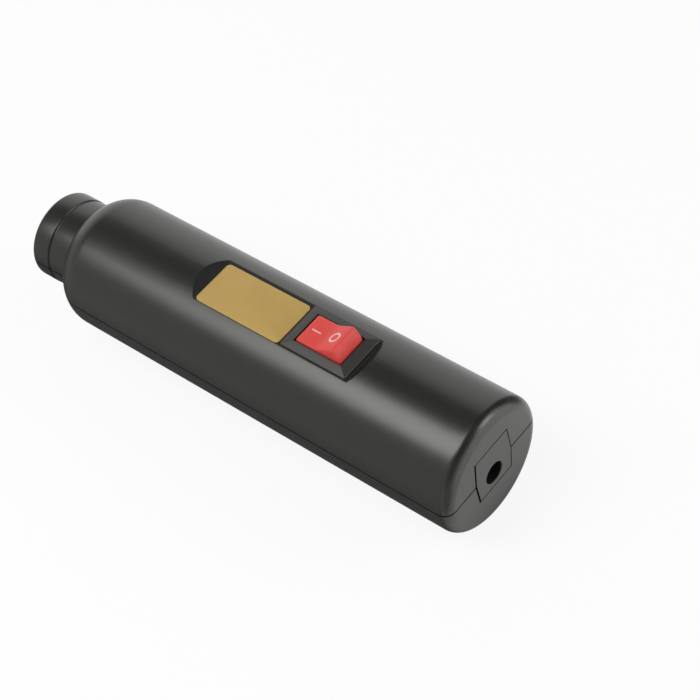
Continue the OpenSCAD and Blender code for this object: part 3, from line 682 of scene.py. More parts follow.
# %% Switch housing
BEZEL_EDGE_H = 0.6 * MM
BEZEL_LIP = 0.3 * MM
BEZEL_CORNER = 0.5 * MM
SWITCH_L = 18.8 * MM
SWITCH_W = 12.8 * MM
SWITCH_FLOOR = 1.2 * MM
WELL_L = 15.2 * MM
WELL_W = 9.8 * MM


def about_switch(length, width):
    """Opposite corners of a rectangle centred on the switch."""
    return (switch_x - length / 2, -width / 2), (switch_x + length / 2, width / 2)


block = about_switch(SWITCH_L, SWITCH_W)
bezel = about_switch(switch_high.x - switch_low.x, switch_high.y - switch_low.y)
lip = about_switch(WELL_L + 2 * BEZEL_LIP, WELL_W + 2 * BEZEL_LIP)
well = about_switch(WELL_L, WELL_W)
flat_z = plate_low.z
EDGE_SOFT = 0.14 * MM
BEZEL_ROUND = 0.35 * MM
BEZEL_ANGLES = [math.radians(a) for a in (0, 18, 36, 54, 70)]
housing_levels = [
    (block, BEZEL_CORNER, switch_low.z, 0),
    (block, BEZEL_CORNER, flat_z, 0),
    (bezel, BEZEL_CORNER, flat_z, 0),
    *[(bezel, BEZEL_CORNER, flat_z + BEZEL_EDGE_H - BEZEL_ROUND + up, BEZEL_ROUND - out)
      for out, up in circle(BEZEL_ROUND, BEZEL_ANGLES)],
    (lip, EDGE, switch_high.z - BEVEL_SHARE * EDGE_SOFT, 0),
    (lip, EDGE, switch_high.z, EDGE_SOFT),
    (well, EDGE, switch_high.z, -EDGE_SOFT),
    (well, EDGE, switch_high.z - EDGE_SOFT, 0),
    (well, EDGE, switch_low.z + SWITCH_FLOOR, 0),
]
housing = stack("switch_housing_case", [rounded_box(*corners, *level) for corners, *level in housing_levels])
clean(housing)
dress(housing, bezel_black, "case", "switch_black", "switch_housing")

# %% [markdown]
# ## The rocker
# The red rocker is a side outline drawn across its width: round ends about the pivot, and a top that dips
# in the middle, so that each half can be pressed level with the bezel. It is drawn level and then tipped
# about the hinge, with its front half down, as in rest. The outline is drawn in at both sides to round
# the long edges.

# %% Rounded outlines
def round_corners(corners, count=5):
    """A closed outline from (x, z, radius) corners; a corner with a radius becomes an arc."""
    outline = []
    for k, (x, z, radius) in enumerate(corners):
        here = Vector((x, z))
        to_last = (Vector(corners[k - 1][:2]) - here).normalized()
        to_next = (Vector(corners[(k + 1) % len(corners)][:2]) - here).normalized()
        if radius == 0:
            outline.append(here)
            continue
        half = to_last.angle(to_next) / 2
        centre = here + (to_last + to_next).normalized() * (radius / math.sin(half))
        start = here + to_last * (radius / math.tan(half)) - centre
        stop = here + to_next * (radius / math.tan(half)) - centre
        for s in steps(0, 1, count):
            outline.append(centre + start.slerp(stop, s) * radius)
    return outline


def drawn_in(outline, inset):
    """The outline moved inwards by inset, point by point along its own normals."""
    count = len(outline)
    area = sum(outline[k - 1].x * outline[k].y - outline[k].x * outline[k - 1].y for k in range(count))
    sign = 1 if area > 0 else -1
    moved = []
    for k, point in enumerate(outline):
        run = (point - outline[k - 1]).normalized() + (outline[(k + 1) % count] - point).normalized()
        run.normalize()
        moved.append(point + Vector((-run.y, run.x)) * (inset * sign))
    return moved


ROCKER_W = 9.2 * MM
ROCKER_R = 7.3 * MM
ROCKER_SLOPE = math.radians(14.5)
ROCKER_DIP = 2.4 * MM
ROCKER_SKIRT = 2.6 * MM
ROCKER_TILT = math.radians(14.5)
CREST_ROUND = 0.9 * MM
DIP_ROUND = 5 * MM
CREST_ROUNDS = 20
END_STEPS = 7


def crest_point():
    """Where the sloping top meets the round end, found from a first guess by going back and forth."""
    x = ROCKER_R
    for _ in range(CREST_ROUNDS):
        z = ROCKER_DIP + x * math.tan(ROCKER_SLOPE)
        x = math.sqrt(ROCKER_R ** 2 - z ** 2)
    return x, z


crest_x, crest_z = crest_point()
end_angles = steps(math.atan2(crest_z, crest_x), -math.asin(ROCKER_SKIRT / ROCKER_R), END_STEPS)[1:]
rear_end = [(x, z, 0) for x, z in circle(ROCKER_R, end_angles)]
rocker_corners = [(0, ROCKER_DIP, DIP_ROUND), (crest_x, crest_z, CREST_ROUND), *rear_end]
rocker_corners += [(-x, z, r) for x, z, r in reversed(rocker_corners[1:])]
rocker_outline = round_corners(rocker_corners)
print(f"rocker crest at {crest_x / MM:.2f}, {crest_z / MM:.2f} mm from the pivot")

# %% Rocker
ROCKER_EDGE = 0.5 * MM
EDGE_STEPS = 5
ROCKER_SHARP = 24
tip = Matrix.Translation(pivot) @ Matrix.Rotation(-ROCKER_TILT, 4, "Y")
side_levels = [(ROCKER_EDGE - up, ROCKER_W / 2 - ROCKER_EDGE + out)
               for out, up in arc(ROCKER_EDGE, 0, 90, EDGE_STEPS)]
rocker_levels = [(inset, -y) for inset, y in side_levels] + side_levels[::-1]
rocker_rings = [[tip @ Vector((p.x, y, p.y)) for p in drawn_in(rocker_outline, inset)]
                for inset, y in rocker_levels]
rocker = clean(stack("switch_rocker_cap", rocker_rings), ROCKER_SHARP)
dress(rocker, rocker_red, "rocker", "rocker_red", "switch_rocker")

# %% [markdown]
# ## The rocker's marks
# A bar and a ring, printed on the two halves of the rocker. They are thin inlays that follow the curved
# top: each point asks the outline for its height, so that the print lies on the surface everywhere.

# %% Marks on the rocker
MARK_T = 0.03 * MM
BAR_L, BAR_W, BAR_X = 2.7 * MM, 0.4 * MM, -3.2 * MM
RING_L, RING_W, RING_X = 3.4 * MM, 3.4 * MM, 3.1 * MM
RING_STROKE = 0.58 * MM
BAR_STEPS = 6
RING_SIDES = 48
MARK_SHARP = 40


def top_height(x):
    """Height of the rocker's top at x in its own level frame."""
    tops = [p for p in rocker_outline if p.y > 0 and abs(p.x) < crest_x]
    tops.sort(key=lambda p: p.x)
    for a, b in zip(tops, tops[1:]):
        if a.x <= x <= b.x and b.x > a.x:
            return a.y + (b.y - a.y) * (x - a.x) / (b.x - a.x)
    return tops[0].y


def on_top(x, y, lift):
    return tip @ Vector((x, y, top_height(x) + lift))


bar_rings = [[on_top(x, sy * BAR_W / 2, sz * MARK_T) for sy, sz in SQUARE]
             for x in steps(BAR_X - BAR_L / 2, BAR_X + BAR_L / 2, BAR_STEPS)]
mark_bar = clean(stack("mark_bar", bar_rings), MARK_SHARP)
dress(mark_bar, mark_white, "rocker", "white")

ring_edges = ((0, -MARK_T), (0, MARK_T), (RING_STROKE, MARK_T), (RING_STROKE, -MARK_T))
ring_rings = [[on_top(RING_X + (RING_L / 2 - inset) * c, (RING_W / 2 - inset) * s, lift)
               for inset, lift in ring_edges] for c, s in circle(1, full_turn(RING_SIDES))]
mark_ring = clean(stack("mark_ring", ring_rings, loop=True), MARK_SHARP)
dress(mark_ring, mark_white, "rocker", "white")

# %% [markdown]
# ## The tail plate
# The inlet's plate fills the six-sided window and is held by a disc behind the tail wall. Seen from its
# hole, every ring goes round once: small circle, six-sided outline, disc and back into the hole.

# %% Tail plate
TAIL_SIDES = 96
PLATE_GAP = 0.4 * MM
PLATE_SHIFT = 0.35
plate_corners = [(WINDOW_MID, SPLIT), (WINDOW_HALF, SPLIT + WINDOW_TOP), (-WINDOW_HALF, SPLIT + WINDOW_TOP),
                 (-WINDOW_MID, SPLIT), (-WINDOW_HALF, SPLIT - WINDOW_LOW), (WINDOW_HALF, SPLIT - WINDOW_LOW)]
hole_centre = Vector((0, INLET_Z - AXIS_Z))


def six_sided(gap):
    """The plate's outline, drawn in from the window by gap, with as many points as the circles have."""
    middle = Vector((0, SPLIT + (WINDOW_TOP - WINDOW_LOW) / 2))
    corners = [Vector(c) for c in plate_corners]
    inner = []
    for c in corners:
        side = gap * (1 + PLATE_SHIFT if c.x < 0 else 1 - PLATE_SHIFT)
        rise = 0 if abs(c.y - SPLIT) < EDGE else math.copysign(gap, c.y - middle.y)
        inner.append(c - Vector((math.copysign(side, c.x), rise)))
    per_side = TAIL_SIDES // 6
    return [inner[k].lerp(inner[(k + 1) % 6], n / per_side) for k in range(6) for n in range(per_side)]


def circle_round(centre, r):
    """A circle whose points lie in the directions of the six-sided outline's points."""
    return [centre + (p - hole_centre).normalized() * r for p in six_sided(WINDOW_GAP)]


def at_x(x, ring):
    return [(x, p.x, AXIS_Z + p.y) for p in ring]


HOLE_EDGE = 0.25 * MM
DISC_T = 1.5 * MM
disc_front = TAIL_INNER - DISC_T
axis = Vector((0, 0))
hole_levels = [(disc_front, 0), (TAIL_X - HOLE_EDGE, 0),
               (TAIL_X - BEVEL_SHARE * HOLE_EDGE, BEVEL_SHARE * HOLE_EDGE), (TAIL_X, HOLE_EDGE)]
tail_rings = [
    *[at_x(x, circle_round(hole_centre, INLET_R + wider)) for x, wider in hole_levels],
    at_x(TAIL_X, six_sided(PLATE_GAP + WINDOW_EDGE)),
    at_x(TAIL_X - WINDOW_EDGE, six_sided(PLATE_GAP)),
    at_x(TAIL_INNER, six_sided(PLATE_GAP)),
    at_x(TAIL_INNER, circle_round(axis, DISC_R)),
    at_x(disc_front, circle_round(axis, DISC_R)),
]
tail_plate = clean(stack("tail_plate_cap", tail_rings, loop=True))
dress(tail_plate, shell_black, "case", "shell", "tail_plate")

# %% [markdown]
# ## The nose: ring, lens, reflector and light
# An egg is held against a soft ring in the mouth, in front of a crowned lens. Behind the lens a bright bowl
# surrounds the light. All four are turned, so one helper spins their outlines about the lamp's axis.

# %% Turned pieces
TURN_SIDES = 96


def turned(name, outline, sharp=SHARP, axis_z=AXIS_Z):
    """Spins a closed outline of (x, r) points about the lamp's axis, or about a lower or higher one."""
    rings = [[(x, r * c, axis_z + r * s) for x, r in outline] for c, s in circle(1, full_turn(TURN_SIDES))]
    return clean(stack(name, rings, loop=True), sharp)


RING_T = 2 * MM
RING_INNER_R = MOUTH_R - RING_T
RING_BEVEL = 1.2 * MM
RING_STEPS = 4
ring_outer = ring_high.y
ring_outline = [
    *bend(ring_low.x + EDGE, ring_outer - EDGE, EDGE, 180, 90, RING_STEPS + 2),
    (ring_high.x, ring_outer),
    (ring_high.x, RING_INNER_R),
    *bend(ring_low.x + RING_BEVEL + EDGE, RING_INNER_R + EDGE, EDGE, 270, 225, RING_STEPS),
    *bend(ring_low.x + EDGE, RING_INNER_R + RING_BEVEL + EDGE, EDGE, 225, 180, RING_STEPS),
]
egg_ring = turned("egg_ring_soft", ring_outline)
dress(egg_ring, soft_rubber, "case", "rubber", "egg_ring")

LENS_T = 2 * MM
CROWN_STEPS = 10
crown_r = RING_INNER_R - EDGE
crown = lens_high.x - LENS_T - lens_low.x
ball_r = (crown_r ** 2 + crown ** 2) / (2 * crown)
crown_angle = math.degrees(math.asin(crown_r / ball_r))
lens_outline = [
    *bend(lens_low.x + ball_r, 0, ball_r, 180, 180 - crown_angle, CROWN_STEPS),
    (lens_high.x - LENS_T, lens_high.y),
    (lens_high.x, lens_high.y),
    (lens_high.x, 0),
]
lens = turned("lens_crowned", lens_outline)
dress(lens, lens_clear, "case", "clear", "lens")

# %% Reflector and light
BOWL_T = 0.8 * MM
FLANGE_T = 1.2 * MM
BOWL_STEPS = 24
DOME_STEPS = 14
base_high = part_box("led_base")[1]
dome_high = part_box("led_dome")[1]
bowl_rim = MOUTH_R - RIB_H - EDGE
bowl_throat = base_high.y + EDGE
bowl_depth = reflector_high.x - reflector_low.x
bowl = [(reflector_low.x + bowl_depth * (1 - (1 - u) ** 2), bowl_rim + (bowl_throat - bowl_rim) * u)
        for u in steps(0, 1, BOWL_STEPS)]
bowl_back = [(x, r + BOWL_T) for x, r in reversed(bowl) if x > reflector_low.x + FLANGE_T]
flange = [(reflector_low.x + FLANGE_T, reflector_high.y), (reflector_low.x, reflector_high.y)]
reflector = turned("reflector_bowl", bowl + bowl_back + flange)
dress(reflector, bright_bowl, "case", "bright", "reflector")

dome_r = dome_high.y
dome = turned("led_dome_clear", [*bend(dome_high.x, 0, dome_r, 180, 90, DOME_STEPS), (dome_high.x, 0)])
dress(dome, dome_clear, "case", "clear", "led_dome")

# %% [markdown]
# ## Screws
# Four equal screws: one is modelled, and Geometry Nodes set it on four points. The tree ends by realizing
# the copies and setting their finish, and the result is turned into a plain mesh.

# %% Helpers for Geometry Nodes
def new_tree(name, numbers=()):
    """A node tree with geometry in and out, a material input and named numbers."""
    tree = bpy.data.node_groups.new(name, "GeometryNodeTree")
    tree.interface.new_socket("Geometry", in_out="INPUT", socket_type="NodeSocketGeometry")
    tree.interface.new_socket("Geometry", in_out="OUTPUT", socket_type="NodeSocketGeometry")
    tree.interface.new_socket("Finish", in_out="INPUT", socket_type="NodeSocketMaterial")
    for label, kind in numbers:
        tree.interface.new_socket(label, in_out="INPUT", socket_type=kind)
    return tree, tree.nodes.new("NodeGroupInput"), tree.nodes.new("NodeGroupOutput")


def end_tree(tree, start, stop, shape):
    """Ends a tree in realized copies with their finish."""
    realize = add(tree, "GeometryNodeRealizeInstances", {"Geometry": shape})
    finish = add(tree, "GeometryNodeSetMaterial", {"Geometry": realize.outputs["Geometry"],
                                                   "Material": start.outputs["Finish"]})
    feed(tree, stop, {"Geometry": finish.outputs["Geometry"]})


def grow(obj, tree, finish, **values):
    """Runs a tree on an object with these inputs, and keeps the result as the object's plain mesh."""
    modifier = obj.modifiers.new(tree.name, "NODES")
    modifier.node_group = tree
    values["Finish"] = finish
    for item in tree.interface.items_tree:
        if item.in_out == "INPUT" and item.name in values:
            modifier[item.identifier] = values[item.name]
    view = bpy.context.evaluated_depsgraph_get()
    mesh = bpy.data.meshes.new_from_object(obj.evaluated_get(view))
    obj.modifiers.remove(modifier)
    obj.data = mesh


print("node helpers ready")

# %% One screw, set four times
HEAD_ROUND = 0.5 * MM
CROSS_L = 3.2 * MM
CROSS_W = 0.8 * MM
CROSS_DEPTH = 1.1 * MM
CROSS_LEVELS = ((1.05, -SCREW_HEAD_T - EDGE), (0.75, -SCREW_HEAD_T + CROSS_DEPTH))
POINT_L = 1.5 * MM
POINT_SHARE = 0.3
THREAD_SIDES = 32
HEAD_STEPS = 6
SCREW_SHARP = 30
screw_length = screws_high.z - SEAT_Z
screw_levels = [
    *[(SCREW_HEAD_R - HEAD_ROUND + up, HEAD_ROUND - out - SCREW_HEAD_T)
      for out, up in arc(HEAD_ROUND, 0, 90, HEAD_STEPS)],
    (SCREW_HEAD_R, 0),
    (SCREW_R, 0),
    (SCREW_R, screw_length - POINT_L),
    (SCREW_R * POINT_SHARE, screw_length),
]
screw = clean(stack("screw", [ring_at(0, 0, r, z, THREAD_SIDES) for r, z in screw_levels]))
for half_l, half_w in ((CROSS_L / 2, CROSS_W / 2), (CROSS_W / 2, CROSS_L / 2)):
    slot_levels = [[(sx * half_l * s, sy * half_w * s, z) for sx, sy in SQUARE] for s, z in CROSS_LEVELS]
    boolean(screw, clean(stack("slot", slot_levels)), "DIFFERENCE")
clean(screw, SCREW_SHARP)

screw_tree, start, stop = new_tree("screws_on_points", [("Screw", "NodeSocketObject")])
screw_shape = add(screw_tree, "GeometryNodeObjectInfo", {"Object": start.outputs["Screw"]})
set_screws = add(screw_tree, "GeometryNodeInstanceOnPoints", {"Points": start.outputs["Geometry"],
                                                              "Instance": screw_shape.outputs["Geometry"]})
end_tree(screw_tree, start, stop, set_screws.outputs["Instances"])
case_screws = new_mesh_object("case_screws_set", [(x, y, SEAT_Z) for x, y in screw_places])
grow(case_screws, screw_tree, zinc_steel, Screw=screw)
bpy.data.objects.remove(screw)
dress(case_screws, zinc_steel, "case", "steel", "case_screws")

# %% [markdown]
# ## Wires
# Four insulated wires run inside the barrel. Each route is a handful of listed points; a node tree bends a smooth
# curve through them and sweeps a round section along it.

# %% Wires along their routes
WIRE_R = 0.7 * MM
WIRE_RINGS = 72
WIRE_SIDES = 12
SWEPT_SHARP = 50
wire_routes = {
    "wire_feed": [(53.6, 0, 17), (51.6, 0, 17), (49, 0, 17), (45.1, 1, 15), (40.1, 2, 11), (35.9, 1, 9),
                  (33.2, 0, 11), (32.8, 0, 13.7), (32.8, 0, 15.7)],
    "wire_switched": [(25.8, 0, 15.7), (25.8, 0, 13.7), (25.1, 0, 11), (19.9, 0, 9), (12.2, 0, 11),
                      (3.7, 0, 15), (-4, 0, 16.5), (-9, 0, 16.5), (-11, 0, 16.5)],
    "wire_lamp": [(-25, 0, 16.5), (-27, 0, 16.5), (-29.1, 0, 17), (-33, 0, 19), (-37, 0, 23),
                  (-41.1, 0, 25.6), (-45, 0, 26.1), (-55.4, 0, 26.1), (-57.4, 0, 26.1)],
    "wire_return": [(-57.4, 0, 10.9), (-55.4, 0, 10.9), (-44.6, 0, 10.9), (-37.6, 1, 9), (-25.7, 3, 6.5),
                    (-11.7, 4, 5.6), (4.2, 4, 5), (20.1, 4, 5), (34.1, 4, 6), (43, 3, 8), (48, 1, 11),
                    (51, 0, 12.5), (52, 0, 12.8), (54, 0, 12.8)],
}


def sweep(tree, curve, radius, sides):
    """A round section drawn along a curve, with closed ends."""
    section = add(tree, "GeometryNodeCurvePrimitiveCircle", {"Resolution": sides, "Radius": radius})
    swept = add(tree, "GeometryNodeCurveToMesh", {"Curve": curve, "Profile Curve": section.outputs["Curve"],
                                                  "Fill Caps": True})
    return swept.outputs["Mesh"]


wire_tree, start, stop = new_tree("wire_along_route", [("Radius", "NodeSocketFloat")])
route_curve = add(wire_tree, "GeometryNodeMeshToCurve", {"Mesh": start.outputs["Geometry"]})
bent_curve = add(wire_tree, "GeometryNodeCurveSplineType", {"Curve": route_curve.outputs["Curve"]},
                 spline_type="CATMULL_ROM")
finer = add(wire_tree, "GeometryNodeResampleCurve", {"Curve": bent_curve.outputs["Curve"],
                                                     "Count": WIRE_RINGS})
end_tree(wire_tree, start, stop,
         sweep(wire_tree, finer.outputs["Curve"], start.outputs["Radius"], WIRE_SIDES))
for node, route in wire_routes.items():
    points = [Vector(p) * MM for p in route]
    wire = new_mesh_object(node + "_lead", points, edges=[(k, k + 1) for k in range(len(points) - 1)])
    colour, slot = (wire_black, "wire_black") if node == "wire_return" else (wire_red, "wire_red")
    grow(wire, wire_tree, colour, Radius=WIRE_R)
    clean(wire, SWEPT_SHARP)
    dress(wire, colour, "case", slot, node)

# %% [markdown]
# ## Spring
# The rocker snaps over because a small spring presses a plunger on the contact bridge. A spiral with a
# round section gives the spring, tipped about the hinge like the rocker that holds it.

# %% Plunger spring
SPRING_R = 1.05 * MM
SPRING_WIRE = 0.18 * MM
SPRING_TURNS = 4.0
SPRING_TOP = -1.28 * MM
SPRING_LOW = -4.12 * MM
COIL_STEPS = 24
COIL_SIDES = 10
spring_inputs = [(label, "NodeSocketFloat") for label in ("Radius", "Wire", "Height", "Turns")]
spring_tree, start, stop = new_tree("spring_coil", spring_inputs)
coil = add(spring_tree, "GeometryNodeCurveSpiral", {
    "Resolution": COIL_STEPS,
    "Start Radius": start.outputs["Radius"],
    "End Radius": start.outputs["Radius"],
    "Height": start.outputs["Height"],
    "Rotations": start.outputs["Turns"],
})
end_tree(spring_tree, start, stop,
         sweep(spring_tree, coil.outputs["Curve"], start.outputs["Wire"], COIL_SIDES))
spring = new_mesh_object("plunger_spring_coil", [(0, 0, 0)])
grow(spring, spring_tree, zinc_steel, Radius=SPRING_R, Wire=SPRING_WIRE, Height=SPRING_TOP - SPRING_LOW,
     Turns=SPRING_TURNS)
spring.data.transform(tip @ Matrix.Translation((0, 0, SPRING_LOW)))
clean(spring, SWEPT_SHARP)
dress(spring, zinc_steel, "rocker", "steel", "plunger_spring")

# %% [markdown]
# ## The dropping resistor
# A lacquered resistor on two leads sits in the wire to the light. Its body bulges over the caps at both
# ends, so it is turned from an outline like the nose pieces, but about its own axis. The bands are a ramp
# of steps along X, which is how they are rolled on in the factory.

# %% Resistor
resistor_low, resistor_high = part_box("resistor")
RESISTOR_L = 8 * MM
LEAD_R = 0.35 * MM
WAIST = 0.3 * MM
CAP_SHARE = 0.3
END_SHARE = 0.1
BODY_STEPS = 48
CROWDING = 0.7
RESISTOR_SHARP = 40
LACQUER_GRAIN = 0.5
LACQUER_ROUGH = (0.2, 0.34)
resistor_r = resistor_high.y
resistor_mid = (resistor_low.x + resistor_high.x) / 2


def resistor_radius(u):
    """Radius of the body from its middle (u = 0) to its end (u = 1): waist, bulge, round end."""
    bulge = min(1, max(0, (u - CAP_SHARE) / CAP_SHARE))
    r = resistor_r - WAIST * (1 - bulge * bulge * (3 - 2 * bulge))
    fall = max(0, (u - 1 + END_SHARE) / END_SHARE)
    return LEAD_R + (r - LEAD_R) * math.sqrt(max(0, 1 - fall * fall))


shares = [math.copysign(abs(t) ** CROWDING, t) for t in steps(-1, 1, BODY_STEPS)]
body = [(resistor_mid + RESISTOR_L / 2 * u, resistor_radius(abs(u))) for u in shares]
leads = [(resistor_high.x, LEAD_R), (resistor_high.x, 0), (resistor_low.x, 0), (resistor_low.x, LEAD_R)]
resistor_z = (resistor_low.z + resistor_high.z) / 2
resistor = turned("resistor_banded", body + leads, RESISTOR_SHARP, resistor_z)
tin = (0.6, 0.6, 0.6)
tan = (0.42, 0.3, 0.15)
lead_share = 0.5 - RESISTOR_L / (resistor_high.x - resistor_low.x) / 2
band_stops = [
    (0, tin), (lead_share, tan),
    (0.29, (0.16, 0.06, 0.02)), (0.335, tan),
    (0.41, (0.03, 0.2, 0.05)), (0.455, tan),
    (0.53, (0.02, 0.02, 0.02)), (0.575, tan),
    (0.66, (0.5, 0.34, 0.08)), (0.705, tan),
    (1 - lead_share, tin),
]


def banded_lacquer():
    material, tree, shader, place = finish_nodes("banded_lacquer")
    along_x = add(tree, "ShaderNodeSeparateXYZ", {"Vector": place}).outputs["X"]
    share = add(tree, "ShaderNodeMapRange", {"Value": along_x, "From Min": resistor_low.x,
                                             "From Max": resistor_high.x})
    ramp = add(tree, "ShaderNodeValToRGB", {"Fac": share.outputs["Result"]})
    bands = ramp.color_ramp
    bands.interpolation = "CONSTANT"
    while len(bands.elements) < len(band_stops):
        bands.elements.new(1)
    for band, (at, colour) in zip(bands.elements, band_stops):
        band.position = at
        band.color = (*colour, 1)
    rough = spread(tree, noise(tree, place, LACQUER_GRAIN), *LACQUER_ROUGH)
    feed(tree, shader, {"Base Color": ramp.outputs["Color"], "Roughness": rough})
    return material


dress(resistor, banded_lacquer(), "case", "resistor", "resistor")

# %% [markdown]
# ## Pieces that keep their solids
# Small parts inside the lamp have the right shape already. They only take a finish.

# %% Finishes of the inner solids
inner_finishes = {
    white_ceramic: ("led_base", "led_board", "switch_plunger"),
    zinc_steel: ("led_screws", "solder_beads", "jack_pin", "jack_leaf"),
    stamped_brass: ("contact_bridge", "pivot_terminal", "end_terminal"),
    turned_aluminium: ("heat_sink",),
    bezel_black: ("jack_block",),
}
for finish, solids in inner_finishes.items():
    for node in solids:
        materials = frame["nodes"][node].data.materials
        materials.clear()
        materials.append(finish)
    print(finish.name, "on", ", ".join(solids))

# %% [markdown]
# ## Floor and camera
# The lamp lies on a pale floor, white to the camera apart from the lamp's shadow. A black gloss shows what stands
# around it, so in the lamp's gloss the floor glows with a painted reflection: painted shade under the lamp, grey
# on the near side, and white behind it and at the tail, brighter there. The camera stands where the photograph was
# taken from: high over the tail's near side, with a long lens and turned a little about its own axis.

# %% Helpers for soft steps
def blend(tree, value, span, low, high):
    """A soft step from low to high while value runs through the span."""
    ends = {"From Min": span[0], "From Max": span[1], "To Min": low, "To Max": high}
    step = add(tree, "ShaderNodeMapRange", {"Value": value, **ends}, interpolation_type="SMOOTHSTEP")
    return step.outputs["Result"]


def combine(tree, operation, result, *others):
    """Two or more numbers, joined one after the other by a maths operation."""
    for value in others:
        result = add(tree, "ShaderNodeMath", {0: result, 1: value}, operation=operation).outputs["Value"]
    return result


GAP_SHADE = 0.04
CAMERA_SHADE = 0.3
BACKDROP_END = (-0.42, -0.16)
CARD_START = (0.31, 0.47)
CARD_END = (1.85, 2.3)
NEAR_START = (2.75, 3.1)


def cards_around(tree, x, y):
    """Share of light by the direction of (x, y): a backdrop, a dark gap beside it, a card at the tail's side, the
    dark side where the camera stands, and the open near side. In the room this is light; on the floor it shapes a
    painted reflection."""
    angle = combine(tree, "ARCTAN2", x, y)
    backdrop = blend(tree, angle, BACKDROP_END, 1, GAP_SHADE)
    card = blend(tree, angle, CARD_START, GAP_SHADE, 1)
    card_end = blend(tree, angle, CARD_END, 1, CAMERA_SHADE)
    near = blend(tree, angle, NEAR_START, CAMERA_SHADE, 1)
    far_sides = combine(tree, "MAXIMUM", backdrop, card)
    return combine(tree, "MULTIPLY", far_sides, combine(tree, "MAXIMUM", card_end, near))


def rays(tree):
    """The light path's outputs, and whether a ray comes from the camera, a gloss or a clear piece."""
    path = add(tree, "ShaderNodeLightPath", {}).outputs
    kinds = [path[name] for name in ("Is Camera Ray", "Is Glossy Ray", "Is Transmission Ray")]
    return path, combine(tree, "MAXIMUM", *kinds)


print("helpers for soft steps ready")

# %% Floor
FLOOR_HALF = 3.0
FLOOR_DRIFT = 400
FLOOR_DARK = (0.88, 0.88, 0.88)
FLOOR_LIGHT = (0.92, 0.92, 0.92)
FLOOR_ROUGH = 0.9
GLOW_SHARE = 0.88
# Levels of the floor's painted glow in the lamp's gloss: painted shade under the lamp and on its near side,
# painted light behind it and at the tail.
UNDER_SHADE = 0.05
NEAR_SHADE = 0.52
FAR_SHADE = 1.04
FACE_SHADE = 0.9
TAIL_SHADE = 1.8
NEAR_Y = (-0.068, -0.012)
FAR_Y = (-0.012, 0.03)
BESIDE_NEAR_Y = (-0.045, -0.02)
BESIDE_FAR_Y = (0.05, 0.09)
FACE_X = (0.068, 0.081)
BEYOND_X = (0.09, 0.16)


def pale_floor():
    """White to the camera, apart from the lamp's shadow. In the gloss of the lamp its glow is a painted
    reflection: painted shade under the lamp and on its near side, and a brighter painted glow behind it and at the
    tail."""
    material, tree, shader, place = finish_nodes("pale_floor")
    tone = spread(tree, noise(tree, place, FLOOR_DRIFT), FLOOR_DARK, FLOOR_LIGHT)
    feed(tree, shader, {"Base Color": tone, "Roughness": FLOOR_ROUGH})
    split = add(tree, "ShaderNodeSeparateXYZ", {"Vector": place}).outputs
    x, y = split["X"], split["Y"]
    # Painted shade in the gloss: the floor's glow is dim under the lamp and on its near side.
    near = blend(tree, y, NEAR_Y, NEAR_SHADE, UNDER_SHADE)
    far = blend(tree, y, FAR_Y, 0, FAR_SHADE)
    around = cards_around(tree, combine(tree, "SUBTRACT", x, TAIL_X), y)
    before = blend(tree, y, BESIDE_NEAR_Y, 0, 1)
    behind = blend(tree, y, BESIDE_FAR_Y, 1, 0)
    around = combine(tree, "MAXIMUM", around, combine(tree, "MULTIPLY", before, behind))
    # Painted light in the gloss: the floor's glow is brighter beyond the tail face.
    face = blend(tree, x, FACE_X, 0, FACE_SHADE)
    beyond = blend(tree, x, BEYOND_X, 0, TAIL_SHADE - FACE_SHADE)
    painted_glow_levels = combine(tree, "MAXIMUM", far, combine(tree, "ADD", face, beyond))
    painted_glow_levels = combine(tree, "MAXIMUM", near, combine(tree, "MULTIPLY", painted_glow_levels, around))
    path, seen = rays(tree)
    # Camera rays see an even white; glossy rays see the painted glow levels.
    level = add(tree, "ShaderNodeMix", {"Factor": path["Is Glossy Ray"], "A": 1, "B": painted_glow_levels})
    glow = add(tree, "ShaderNodeEmission", {"Strength": level.outputs["Result"]})
    mix = add(tree, "ShaderNodeMixShader", {"Fac": combine(tree, "MULTIPLY", seen, GLOW_SHARE),
                                            1: shader.outputs["BSDF"], 2: glow.outputs["Emission"]})
    feed(tree, tree.nodes["Material Output"], {"Surface": mix.outputs["Shader"]})
    return material


floor_corners = [(sx * FLOOR_HALF, sy * FLOOR_HALF, 0) for sx, sy in SQUARE]
floor = new_mesh_object("floor", floor_corners, [(0, 1, 2, 3)])
floor.data.materials.append(pale_floor())
print("floor", 2 * FLOOR_HALF, "m wide")

# %% Camera
CAMERA_AT = Vector((247.85, -189.67, 382.45)) * MM
CAMERA_AIM = Vector((32.5, 0, 37.0)) * MM
CAMERA_ROLL = math.radians(12.9)
CAMERA_CLIP = 10 * MM
LENS = 94.49
SENSOR = 36


def set_up(name, data, at, across, up, back):
    """Puts a camera or a light in the scene, turned by the directions of its own x, y and z."""
    obj = bpy.data.objects.new(name, data)
    obj.matrix_world = Matrix.Translation(at) @ Matrix((across, up, back)).transposed().to_4x4()
    bpy.context.scene.collection.objects.link(obj)
    return obj


forward = (CAMERA_AIM - CAMERA_AT).normalized()
level = forward.cross(Vector((0, 0, 1))).normalized()
below = forward.cross(level)
right = level * math.cos(CAMERA_ROLL) + below * math.sin(CAMERA_ROLL)
down = below * math.cos(CAMERA_ROLL) - level * math.sin(CAMERA_ROLL)
camera_data = bpy.data.cameras.new("camera")
camera_data.lens = LENS
camera_data.sensor_width = SENSOR
camera_data.clip_start = CAMERA_CLIP
bpy.context.scene.camera = set_up("camera", camera_data, CAMERA_AT, right, -down, -forward)
print(f"camera {(CAMERA_AIM - CAMERA_AT).length:.3f} m from its aim")

# %% [markdown]
# ## Light
# Soft studio light. One large window of light over the near side draws the broad highlight along the barrel,
# a smaller one carries it on over the nose, and a third fills from the tail's far side. The room is pale at
# the level of the table and dim overhead, and the ceiling reaches lower towards the nose and the tail. That
# leaves the dark band between the highlight and the far edge of the barrel.

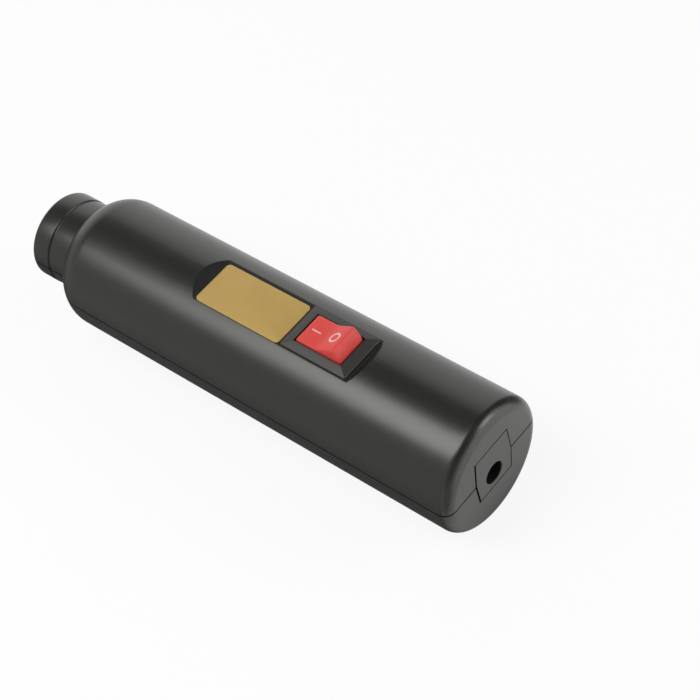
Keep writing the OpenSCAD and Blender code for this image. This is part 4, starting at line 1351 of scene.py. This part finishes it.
# %% Lamps
def soft_light(name, at, along, size, power):
    """A rectangle of light that faces the lamp, with its length in the direction along."""
    data = bpy.data.lights.new(name, "AREA")
    data.shape = "RECTANGLE"
    data.size, data.size_y = size
    data.energy = power
    at, along = Vector(at), Vector(along)
    back = (at - Vector((0, 0, AXIS_Z))).normalized()
    length = (along - back * along.dot(back)).normalized()
    set_up(name, data, at, length, back.cross(length), back)


KEY_ALONG = (0.86, 0.51, 0)
# Name, place in metres, direction of the length, length and width in metres, power in watts
lights = [
    ("key", (-0.14, -0.27, 0.66), KEY_ALONG, (0.44, 0.38), 2.75),
    ("nose_key", (-0.474, -0.503, 0.66), KEY_ALONG, (0.255, 0.36), 1.1),
    ("fill", (0.64, 0.413, 0.49), (0, 1, 0), (0.35, 0.36), 1.8),
]
for light in lights:
    soft_light(*light)

# %% Room
NEAR_ROOM = 0.62
FAR_ROOM = 1.2
TAIL_ROOM = 1.7
ROOM_Y = (-0.35, 0.15)
ROOM_X = (0.35, 0.8)
CEILING = 0.1
CEILING_START = 0.55
CEILING_BLEND = 0.25
NOSE_LEAN = 0.4
NOSE_REACH = 0.43
TAIL_LEAN = 0.5
HORIZON = (0, 0.03)
world = bpy.data.worlds.new("studio")
bpy.context.scene.world = world
world.use_nodes = True
tree = world.node_tree
direction = add(tree, "ShaderNodeTexCoord", {}).outputs["Generated"]
split = add(tree, "ShaderNodeSeparateXYZ", {"Vector": direction}).outputs
x, y, z = split["X"], split["Y"], split["Z"]
sides = blend(tree, y, ROOM_Y, NEAR_ROOM, FAR_ROOM)
from_nose = combine(tree, "MULTIPLY", x, -NOSE_LEAN)
from_tail = combine(tree, "MULTIPLY", x, TAIL_LEAN)
least_lean = NOSE_LEAN * NOSE_REACH
height = combine(tree, "ADD", z, combine(tree, "MAXIMUM", from_nose, from_tail, least_lean))
ceiling_start = least_lean + CEILING_START
overhead = blend(tree, height, (ceiling_start, ceiling_start + CEILING_BLEND), 1, CEILING)
at_tail = blend(tree, x, ROOM_X, 1, TAIL_ROOM)
room = combine(tree, "MULTIPLY", sides, overhead, at_tail, cards_around(tree, x, y))
path, seen = rays(tree)
white = combine(tree, "MULTIPLY", seen, blend(tree, z, HORIZON, 1, 0))
strength = add(tree, "ShaderNodeMix", {"Factor": white, "A": room, "B": 1})
feed(tree, tree.nodes["Background"], {"Color": (1, 1, 1, 1), "Strength": strength.outputs["Result"]})
bpy.context.scene.view_settings.view_transform = "Standard"
print("room of", len(tree.nodes), "nodes")
